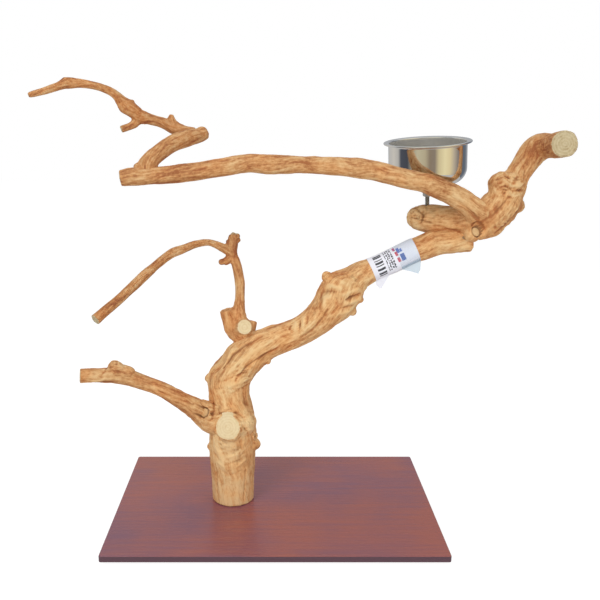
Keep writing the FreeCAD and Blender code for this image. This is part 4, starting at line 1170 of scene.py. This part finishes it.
def wrapped_sheet(name, first, last, growth, loose):
    """Sheet round the trunk between two of its steps, with a loose end that hangs from underneath.

    `growth` is how far it lies out from the wood, and `loose` gives how far its end hangs at each
    distance along it, all in millimetres.
    """
    trunk = trunk_limb()
    middles = trunk.middles[first:last + 1]
    radii = trunk.radii[first:last + 1] + growth * MM
    along = trunk.along[first:last + 1] - trunk.along[first]
    pick()
    rows = SHEET_AROUND + SHEET_HANGING + 1
    bpy.ops.mesh.primitive_grid_add(x_subdivisions=len(along) - 1, y_subdivisions=rows - 1, size=1)
    piece = bpy.context.object
    piece.name = piece.data.name = name
    vertices = piece.data.vertices
    order = sorted(
        range(len(vertices)), key=lambda i: (round(vertices[i].co.x, 5), round(vertices[i].co.y, 5)))
    sheet = np.zeros((len(order), 3))
    for place_in_order, index in enumerate(order):
        column, row = divmod(place_in_order, rows)
        heading = Vector(trunk.headings[first + column])
        out = (SHEET_FRONT - heading * heading.dot(SHEET_FRONT)).normalized()
        up = out.cross(heading).normalized()
        if up.z < 0:
            up = -up
        wrap = min(row, SHEET_AROUND) / SHEET_AROUND
        angle = SHEET_START + (1 - wrap) * SHEET_WRAP
        spot = Vector(middles[column]) + (out * cos(angle) + up * sin(angle)) * radii[column]
        distance = wrap * SHEET_WRAP * radii[column]
        if row > SHEET_AROUND:
            drop = loose(along[column] / MM) * MM * (row - SHEET_AROUND) / SHEET_HANGING
            spot += Vector((0, 0.05, -1)).normalized() * drop
            distance += drop
        vertices[index].co = spot
        sheet[index] = (along[column], distance, 0)
    piece.data.attributes.new("sheet", "FLOAT_VECTOR", "POINT").data.foreach_set("vector", sheet.ravel())
    bpy.ops.object.mode_set(mode="EDIT")
    bpy.ops.mesh.select_all(action="SELECT")
    bpy.ops.mesh.remove_doubles(threshold=0.02 * MM)
    bpy.ops.mesh.normals_make_consistent(inside=False)
    bpy.ops.object.mode_set(mode="OBJECT")
    apply_modifier(piece, "SOLIDIFY", thickness=SHEET_THICKNESS * MM, offset=1)
    bpy.ops.object.shade_smooth_by_angle(angle=radians(40))
    return piece


# ---------------------------------------------------------------- stage

# Tones round the drum, by angle from the camera, in degrees: left is negative.
DRUM_TONES = [
    (-178, "B8BABE"), (-125, "DEDAD4"), (-104, "C8C6C4"), (-94, "565A66"), (-70, "4F525C"), (-58, "A49E90"),
    (-40, "D4CBAF"), (-18, "C9BDA0"), (-4, "9A8A78"), (10, "998B7E"), (22, "E6D6AC"), (40, "FFF1C2"),
    (56, "F4E2B4"), (70, "CBBEAA"), (84, "9A9088"), (97, "6A7280"), (124, "6D7683"), (140, "A6AAB2"),
    (178, "B8BABE"),
]
DRUM_MIDDLE = (0.21, 0.044, 0.55)
DRUM_RADIUS = 1.1
DRUM_HEIGHT = 1.7

# Lamps: name, place, what it aims at, width in metres, and watts.
LAMPS = [
    ("key_lamp", (-1.0, -1.5, 1.6), (0.0, 0, 0.3), 1.1, 17),
    ("fill_lamp", (1.4, -1.5, 0.8), (0.1, 0, 0.3), 1.4, 7),
    ("front_lamp", (-0.1, -2.2, 0.5), (0.0, 0, 0.2), 1.2, 8),
    ("top_lamp", (0.3, 0.5, 2.0), (0.1, 0, 0.3), 1.4, 6),
]

# The camera: place in metres, tilt down in degrees, lens in millimetres and shift to the right.
CAMERA_PLACE = (-0.0035, -1.013, 0.543)
CAMERA_TILT = 12.8
CAMERA_LENS = 45.3
CAMERA_SHIFT = 0.0462


def seen_directly(add):
    """1 for what the camera sees, also through clear pieces and in shiny ones."""
    seen = add("Math", LARGER, _0=add("LightPath", out="Is Camera Ray"),
               _1=add("LightPath", out="Is Glossy Ray"))
    return add("Math", LARGER, _0=seen, _1=add("LightPath", out="Is Transmission Ray"))


def pale_floor(add, tint):
    """White paper floor that keeps the object's shadow, and is dimmer in what the steel mirrors."""
    paint = add("BsdfDiffuse", Color=(0.8, 0.8, 0.8))
    matt = add("BsdfDiffuse", Color=(0.25, 0.25, 0.25))
    level = weighed(add, 0.9, (add("LightPath", out="Is Glossy Ray"), -0.5))
    glow = add("Emission", Color=(1, 1, 1), Strength=level)
    return add("MixShader", _0=seen_directly(add), _1=paint, _2=add("AddShader", _0=matt, _1=glow))


def toned_card(add, tint):
    """Card drum, toned round its wall and pale on top."""
    place = add("TexCoord", out="Object")
    turn = add("VectorRotate", {"rotation_type": "Z_AXIS"}, Vector=place, Angle=radians(90))
    around = add("TexGradient", {"gradient_type": "RADIAL"}, "Fac", Vector=turn)
    wall = add("ValToRGB", {"stops": [(0.5 + a / 360, linear(code)) for a, code in DRUM_TONES]}, Fac=around)
    top = add("Math", OVER, _0=add("SeparateXYZ", out="Z", Vector=place), _1=DRUM_HEIGHT / 2 - 0.01)
    shade = add("Mix", BLEND, COLOUR_OUT, _0=top, _6=wall, _7=linear("DDE2E4"))
    return add("Emission", Color=shade, Strength=1)


class STAND_OT_stage(bpy.types.Operator):
    """Pale floor, soft studio lamps, a toned drum for the steel to mirror, and the camera"""

    bl_idname = "stand.stage"
    bl_label = "Stage"

    def execute(self, context):
        scene = context.scene
        scene.view_settings.view_transform = "Standard"
        self.add_floor()
        self.add_world(scene)
        for lamp in LAMPS:
            self.add_lamp(*lamp)
        self.add_drum()
        camera = bpy.data.objects.new("camera", bpy.data.cameras.new("camera"))
        context.collection.objects.link(camera)
        camera.location = CAMERA_PLACE
        camera.rotation_euler = (radians(90 - CAMERA_TILT), 0, 0)
        camera.data.lens = CAMERA_LENS
        camera.data.sensor_width = 36
        camera.data.shift_x = CAMERA_SHIFT
        camera.data.clip_start = 0.05
        scene.camera = camera
        return {"FINISHED"}

    def add_floor(self):
        pick()
        bpy.ops.mesh.primitive_plane_add(size=14, location=(0, 0, 0))
        floor = bpy.context.object
        floor.name = "floor"
        floor.data.materials.append(new_finish("pale floor", pale_floor))

    def add_world(self, scene):
        world = bpy.data.worlds.new("studio")
        world.use_nodes = True
        world.node_tree.nodes.clear()
        add = partial(add_node, world.node_tree)
        soft = add("Background", Color=(1, 1, 1), Strength=0.42)
        white = add("Background", Color=(1, 1, 1), Strength=1)
        add("OutputWorld", Surface=add("MixShader", _0=seen_directly(add), _1=soft, _2=white))
        scene.world = world

    def add_lamp(self, name, place, aim, size, watts):
        lamp = bpy.data.lights.new(name, "AREA")
        lamp.shape = "DISK"
        lamp.size = size
        lamp.energy = watts
        holder = bpy.data.objects.new(name, lamp)
        bpy.context.collection.objects.link(holder)
        holder.location = place
        holder.rotation_euler = (Vector(aim) - Vector(place)).to_track_quat("-Z", "Y").to_euler()
        holder.visible_camera = False

    def add_drum(self):
        """Drum of toned card round the cup, which only shiny pieces mirror."""
        pick()
        bpy.ops.mesh.primitive_cylinder_add(
            vertices=96, radius=DRUM_RADIUS, depth=DRUM_HEIGHT, end_fill_type="NGON", location=DRUM_MIDDLE,
        )
        drum = bpy.context.object
        drum.name = "card_drum"
        drum.data.materials.append(new_finish("toned card", toned_card))
        drum.visible_camera = drum.visible_shadow = drum.visible_diffuse = False
        drum.visible_transmission = False


# ---------------------------------------------------------------- pieces


class STAND_OT_trunk(bpy.types.Operator):
    """Leaning trunk with its sawn stub, healed knots and folds"""

    bl_idname = "stand.trunk"
    bl_label = "Trunk"

    def execute(self, context):
        trunk = trunk_limb()
        stub = Limb(trunk.round_at(3), TRUNK_STUB_LINE)
        marks = [
            calm(BOARD_TOP, 62, 0.6),
            ripples((-64.8, -33.7, 140.4), 21, 5, 0.9, 7),
            ripples((-64.8, -30, 132), 27, 16, 0.4, 6.5, below=True),
            crumpled((-62, -30, 118), 24, 1.1, 7),
            crack((-64.8, -33.7, 137), 3, 1.6, 0.7),
            pit((-29.6, -6.1, 115.3), 3.4, 3.5, 0.8),
            pale((-24.1, -1, 99.3), 7, 0.8),
            wrinkles((-42, -17.4, 203.1), (0, 0, 1), 22, 0.5, 5),
            crumpled((-76, -18.3, 186), 8, 1.2, 5),
            pale((-77.6, -18.3, 184.5), 6, 0.8),
            crumpled((24, -3.5, 275), 12, 0.8, 5),
            pale((28, -6, 278), 9, 0.8),
            pale((72, -8, 324), 9, 0.4),
            pale((-40, -18, 138), 13, 0.9),
            pale((-55, -12, 225), 26, 0.6),
            crumpled((-40, -16, 138), 13, 1.7, 4),
            pale((-60, -28, 92), 28, 0.8),
            pale((-61, -20, 20), 36, 1.0),
            folds(TRUNK_FOLDS, 4),
        ]
        balls = [
            ball((-62, -6, 114), 27, (1.0, 0.97, 1.1)), ball((-48, -9, 137), 21), ball((-79, -8, 143), 20),
            ball((-64, -9, 157), 20), ball((-82, 2, 200), 11, (1, 1, 1.5)), ball((-29, -3, 101), 9),
        ]
        balls += knots(
            trunk, (2, 88, -15, 47, 85), (2, 93, -15, 2, 85), (2, -92, -15, 3, 85), (6, -88, -10, 0, 110),
            (8, 70, -42, -48, 80), (12, 84, -24, -45, 92), (13, 65, -28, -60, 76), (13, -92, -18, 52, 120),
        )
        first, middle, last = trunk.stations[LABEL_FIRST_ROUND:LABEL_LAST_ROUND + 1]
        under_label = [
            (trunk.middles[i], 30 * MM) for i in ((first + middle) // 2, middle, (middle + last) // 2)
        ]
        swellings = nudges(
            ((-81, 2, 227), 16, (6.5, 0, -6)), ((94, 14, 361), 16, (1.5, 0, -5.5)),
            ((52, 14, 314), 13, (2.5, 0, -1.5)), ((89, 14, 274), 12, (-1.5, 0, 2)),
            ((214, 14, 369), 13, (0, 0, -3)), ((270, 14, 388), 9, (3.5, 0, 0)),
            ((209, 14, 404), 9, (0, 0, 1.2)), ((-95, 2, 167), 9, (-2.5, 0, 0)),
        )
        grown("trunk", [trunk, stub], balls, marks, under_label, [
            swellings, above(BOARD_TOP), plug_hole("low_perch_plug", (-36, -29, 31), 9, 1.6),
            plug_hole("crown_plug", (20, -34, 19), 11, 1.4, ring=0),
        ])
        return {"FINISHED"}


class STAND_OT_low_perch(bpy.types.Operator):
    """Short perch that grows from low on the trunk"""

    bl_idname = "stand.low_perch"
    bl_label = "Low perch"

    def execute(self, context):
        perch = Limb(trunk_limb().round_at(3), LOW_PERCH_LINE, (0.1, 0.45))
        knot = Vector(perch.round_at(6))
        balls = [
            ball(knot + Vector(offset), radius, stretch) for offset, radius, stretch in (
                ((-9, -4, 11), 10.5, (1.15, 1, 1)), ((1, -1, 6), 11, (1.4, 1, 0.9)),
                ((-18, -7, 5), 8, (1.3, 1, 1)),
            )
        ]
        marks = [
            pit((-87.2, -25.5, 156.3), 4, 2.5, 0.3),
            crumpled(knot + Vector((-8, -7, 17)), 13, 1.0, 5),
            pale(knot + Vector((-7, -3, 21)), 8, 0.6),
            folds(LOW_PERCH_FOLDS, 10),
        ]
        swellings = nudges(((-218, -40, 236), 12, (0, 0, 3)), ((-98, -20, 133), 8, (0, 0, -2.5)))
        grown("low_perch", [perch], balls, marks, moulds=[
            swellings, plug_hole("low_perch_plug", (-36, -29, 31), 10, 1.6),
        ])
        return {"FINISHED"}


class STAND_OT_arch_perch(bpy.types.Operator):
    """Upright perch with sawn stubs, a hook, and a thin arm that arches forward"""

    bl_idname = "stand.arch_perch"
    bl_label = "Arch perch"

    def execute(self, context):
        stem = Limb(trunk_limb().round_at(8), ARCH_STEM_LINE, (0.2, 0.8))
        fork = stem.round_at(7)
        arm = Limb(fork, ARCH_ARM_LINE, (0.85, 1.0))
        low = stem.round_at(2)
        left_stub, front_stub, back_stub, hook, prong = (
            Limb(root, line, ruddy, sawn) for root, line, ruddy, sawn in (
                (low, LEFT_STUB_LINE, (0.15, 0.4), False), (low, FRONT_STUB_LINE, (0.15, 0), True),
                (low, BACK_STUB_LINE, (0.15, 0.5), False), (fork, HOOK_LINE, (0.6, 0.8), False),
                (fork, PRONG_LINE, (0.6, 0.8), False),
            )
        )
        balls = [
            ball(Vector(limb.round_at(i)) + Vector(offset), radius) for limb, i, offset, radius in (
                (stem, -1, (-4.5, 0, -5), 4.2), (stem, -1, (4.5, -2, -3), 4.0),
                (stem, -1, (5.5, 1, -9), 3.6), (stem, -1, (-1, -1, -1), 3.4),
                (hook, -1, (1, 0, 1), 4.4), (hook, -1, (8, 1, 1), 5.2), (stem, 1, (-4, 0, 0), 13),
            )
        ]
        swellings = nudges(
            ((-67, 6, 263), 12, (-4, 0, -1)), ((-72, 2, 379), 8, (-1, 0, -3)), ((-29, 10, 273), 8, (2, 0, 0)),
        )
        grown("arch_perch", [stem, arm, left_stub, front_stub, back_stub, hook, prong], balls, moulds=[
            swellings, plug_hole("arch_perch_plug", (-24, 27, 42), 9, 0.7),
        ])
        return {"FINISHED"}


class STAND_OT_crown(bpy.types.Operator):
    """Natural fork: hub with a burl, sawn horn, cup limb and long perch"""

    bl_idname = "stand.crown"
    bl_label = "Crown"

    def execute(self, context):
        middle = crown_middle()
        horn = Limb(middle, HORN_LINE, (0.1, 0.85))
        # The cup limb keeps no ruddiness, so it is painted paler; this is partly painted light, lifting the
        # shade that the bowl and long perch cast on it.
        cup_limb = Limb(middle, CUP_LIMB_LINE, sawn=False)
        burl = Vector(horn.round_at(3)) + Vector((-10, -5, 7))
        balls = [
            ball(burl, 18.5), ball(burl + Vector((-1, 0, -12)), 18), ball(burl + Vector((12, 0, 2)), 17),
            ball(middle + Vector((3, 0, -1)), 21), ball((263.8, -7.5, 405.9), 12),
        ] + knots(horn, (2, 76, 0, -14, 150)) + knots(cup_limb, (0, -50, -37, -37, 210))
        marks = [
            pit((270.5, -10.9, 417), 3.2, 2.2, 0.2),
            wrinkles((308.6, -13.3, 470), (0.4, 0, 1), 12, 1.5, 6),
            crumpled((306, -14, 466), 13, 1.5, 5),
            pale((300, -20, 455), 10, 0.7),
            ripples((318, -16, 440), 30, 14, 0.5, 8),
            wrinkles((346.7, -19.9, 522), (0.4, -1, 0.1), 14, 0.5, 5),
            crumpled((197, 40, 432), 15, 0.9, 5),
            folds(CROWN_FOLDS, 8),
            folds(CUP_LIMB_FOLDS, 50),
            # Painted light: a pale patch on the cup limb that lifts the shade cast on it by the bowl and the
            # long perch.
            pale((215, 22, 436), 34, 0.7),
        ]
        swellings = nudges(
            ((325, 10, 509), 13, (2.5, 0, -1.5)), ((333, 0, 531), 9, (-1.5, 0, 2.5)),
            ((334, 8, 464), 9, (2.5, 0, 0)), ((262, 8, 461), 13, (0, 0, -2)),
            ((344, 6, 489), 14, (1.5, 0, -1)),
        )
        grown("crown", [horn, cup_limb, long_perch_limb()], balls, marks, moulds=[
            swellings, plug_hole("crown_plug", (20, -34, 19), 11, 0.4),
        ])
        return {"FINISHED"}


class STAND_OT_crooked_perches(bpy.types.Operator):
    """Crooked perch on the end of the long perch, and the forked twig behind it"""

    bl_idname = "stand.crooked_perches"
    bl_label = "Crooked perches"

    def execute(self, context):
        zig = Limb(long_perch_limb().round_at(13), ZIG_PERCH_LINE, (0.8, 0.7), sawn=False)
        zig_knots = knots(zig, (0, -70, 0, 40, 130), (5, 0, 0, 40, 120))
        grown("zig_perch", [zig], zig_knots, moulds=[nudges(((-173, -50, 501), 9, (-4, 0, 0.5)))])

        tip = Limb(zig.round_at(4), TIP_PERCH_LINE, (1.0, 0.8))
        stub = Limb(tip.round_at(5), TIP_STUB_LINE, (0.8, 0.8))
        spike = Limb(tip.round_at(2), SPIKE_LINE, (0.9, 0.7), sawn=False)
        tip_knots = knots(
            tip, (12, 60, -10, 95, 55), (6, 40, 0, 60, 60), (7, -60, -20, 60, 60), (2, 30, -10, 60, 60))
        swellings = nudges(
            ((-175, -11, 549), 8, (0, 0, -3)), ((-200, -16, 566), 10, (-2.5, 0, -2)),
            ((-257, -39, 605), 6, (0, 0, 2.5)), ((-267, -43, 601), 7, (0.5, 0, -2.5)),
            ((-255, -39, 590), 9, (0, 0, -2)),
        )
        grown("tip_perch", [tip, stub, spike], tip_knots, moulds=[swellings])
        return {"FINISHED"}


class STAND_OT_plugs_and_screws(bpy.types.Operator):
    """Wooden plugs over the sunk screws, and the screws"""

    bl_idname = "stand.plugs_and_screws"
    bl_label = "Plugs and screws"

    def execute(self, context):
        for node in ("low_perch_plug", "arch_perch_plug", "crown_plug"):
            eased_copy(node, "plug_wood", STAND, 0.7)
        for node in ("foot_screws", "trunk_screws", "low_perch_screw", "arch_perch_screw", "crown_screw",
                     "zig_perch_screw", "tip_perch_screw"):
            dress_node(node, "screw_steel")
        return {"FINISHED"}


class STAND_OT_base(bpy.types.Operator):
    """Stained plywood board on rubber feet"""

    bl_idname = "stand.base"
    bl_label = "Base"

    def execute(self, context):
        dress_node("base_board", "stained_board")
        eased_copy("rubber_feet", "foot_rubber", STAND, 0.8)
        return {"FINISHED"}


class STAND_OT_cup(bpy.types.Operator):
    """Steel cup with a rolled rim, its threaded stud, jam nut, washer and boss"""

    bl_idname = "stand.cup"
    bl_label = "Cup"

    def execute(self, context):
        bowl = turned_piece("cup_bowl", bowl_profile(), stud_place(BOWL_ABOVE_LIMB))
        self.mark_inside(bowl)
        finish_piece(bowl, "polished_steel", "cup_bowl", "cup_bowl")
        pitch = sizes().thread_pitch / MM
        stud = threaded_rod("cup_stud", STUD_DIAMETER, pitch, -STUD_SUNK, STUD_TOP, stud_place(0))
        finish_piece(stud, "plain_steel", STAND, "cup_stud")
        for node, width in (("jam_nut", 0.25), ("cup_washer", 0.3), ("cup_boss", 0.6)):
            eased_copy(node, "plain_steel", node, width)
        return {"FINISHED"}

    def mark_inside(self, bowl):
        """Mark the bowl's inner skin below its rim, which is satin from use."""
        back = stud_place(BOWL_ABOVE_LIMB).inverted()
        corner = BOWL_RADIUS - BOWL_CORNER
        half_wall = BOWL_WALL / 2
        inside = bowl.data.attributes.new("inside", "FLOAT", "POINT")
        for vertex, value in zip(bowl.data.vertices, inside.data):
            local = back @ vertex.co / MM
            radius = local.xy.length
            reach = min(max(radius - corner, 0), BOWL_CORNER - 0.1)
            skin = BOWL_CORNER - (BOWL_CORNER**2 - reach**2) ** 0.5 + half_wall
            value.value = float(radius < BOWL_RADIUS - half_wall and skin < local.z < BOWL_HEIGHT - 2)


class STAND_OT_label(bpy.types.Operator):
    """Paper label round the trunk with a loose corner, and the clear film over its end"""

    bl_idname = "stand.label"
    bl_label = "Label"

    # In millimetres: how far out the sheets lie, how long the film is, and how far the loose ends hang
    # and where along the sheets. The film is cut off by a slope.
    PAPER_OUT = 0.15
    CORNER_DROP = 16
    CORNER_MIDDLE = 8
    CORNER_REACH = 13
    FILM_OUT = 0.6
    FILM_LENGTH = 30
    FILM_DROP = 18
    FILM_LOWEST = 27
    FILM_SLOPE = 3

    def execute(self, context):
        stations = trunk_limb().stations
        first, last = stations[LABEL_FIRST_ROUND], stations[LABEL_LAST_ROUND]
        paper = wrapped_sheet("price_label", first, last, self.PAPER_OUT, self.paper_drop)
        finish_piece(paper, "label_paper", STAND, "price_label")
        film_first = last - int(self.FILM_LENGTH * MM / Limb.STEP)
        film = wrapped_sheet("label_film", film_first, last, self.FILM_OUT, self.film_drop)
        finish_piece(film, "clear_film", STAND, "label_film")
        return {"FINISHED"}

    def paper_drop(self, along):
        """How far the loose corner hangs at a distance along the label, in millimetres."""
        return max(0, self.CORNER_DROP * (1 - abs(along - self.CORNER_MIDDLE) / self.CORNER_REACH))

    def film_drop(self, along):
        """How far the film hangs at a distance along it: more and more, then cut off at its end."""
        if along < self.FILM_LOWEST:
            return self.FILM_DROP * along / self.FILM_LOWEST
        return max(0, self.FILM_DROP - (along - self.FILM_LOWEST) * self.FILM_SLOPE)


class STAND_PT_pieces(bpy.types.Panel):
    """Lists the pieces of the stand"""

    bl_label = "Parrot play stand"
    bl_space_type = "VIEW_3D"
    bl_region_type = "UI"
    bl_category = "Stand"

    def draw(self, context):
        for operator in OPERATORS:
            self.layout.operator(operator.bl_idname)
        for group in (sizes(), colours()):
            for name in group.__annotations__:
                self.layout.prop(group, name)


OPERATORS = (
    STAND_OT_stage, STAND_OT_trunk, STAND_OT_low_perch, STAND_OT_arch_perch, STAND_OT_crown,
    STAND_OT_crooked_perches, STAND_OT_plugs_and_screws, STAND_OT_base, STAND_OT_cup, STAND_OT_label,
)
CLASSES = (StandSizes, StandColours, *OPERATORS, STAND_PT_pieces)


def register():
    for each in CLASSES:
        bpy.utils.register_class(each)
    bpy.types.Scene.stand_sizes = PointerProperty(type=StandSizes)
    bpy.types.Scene.stand_colours = PointerProperty(type=StandColours)


def unregister():
    del bpy.types.Scene.stand_colours
    del bpy.types.Scene.stand_sizes
    for each in reversed(CLASSES):
        bpy.utils.unregister_class(each)


def main():
    register()
    for operator in OPERATORS:
        package, name = operator.bl_idname.split(".")
        getattr(getattr(bpy.ops, package), name)()


if __name__ == "__main__":
    main()
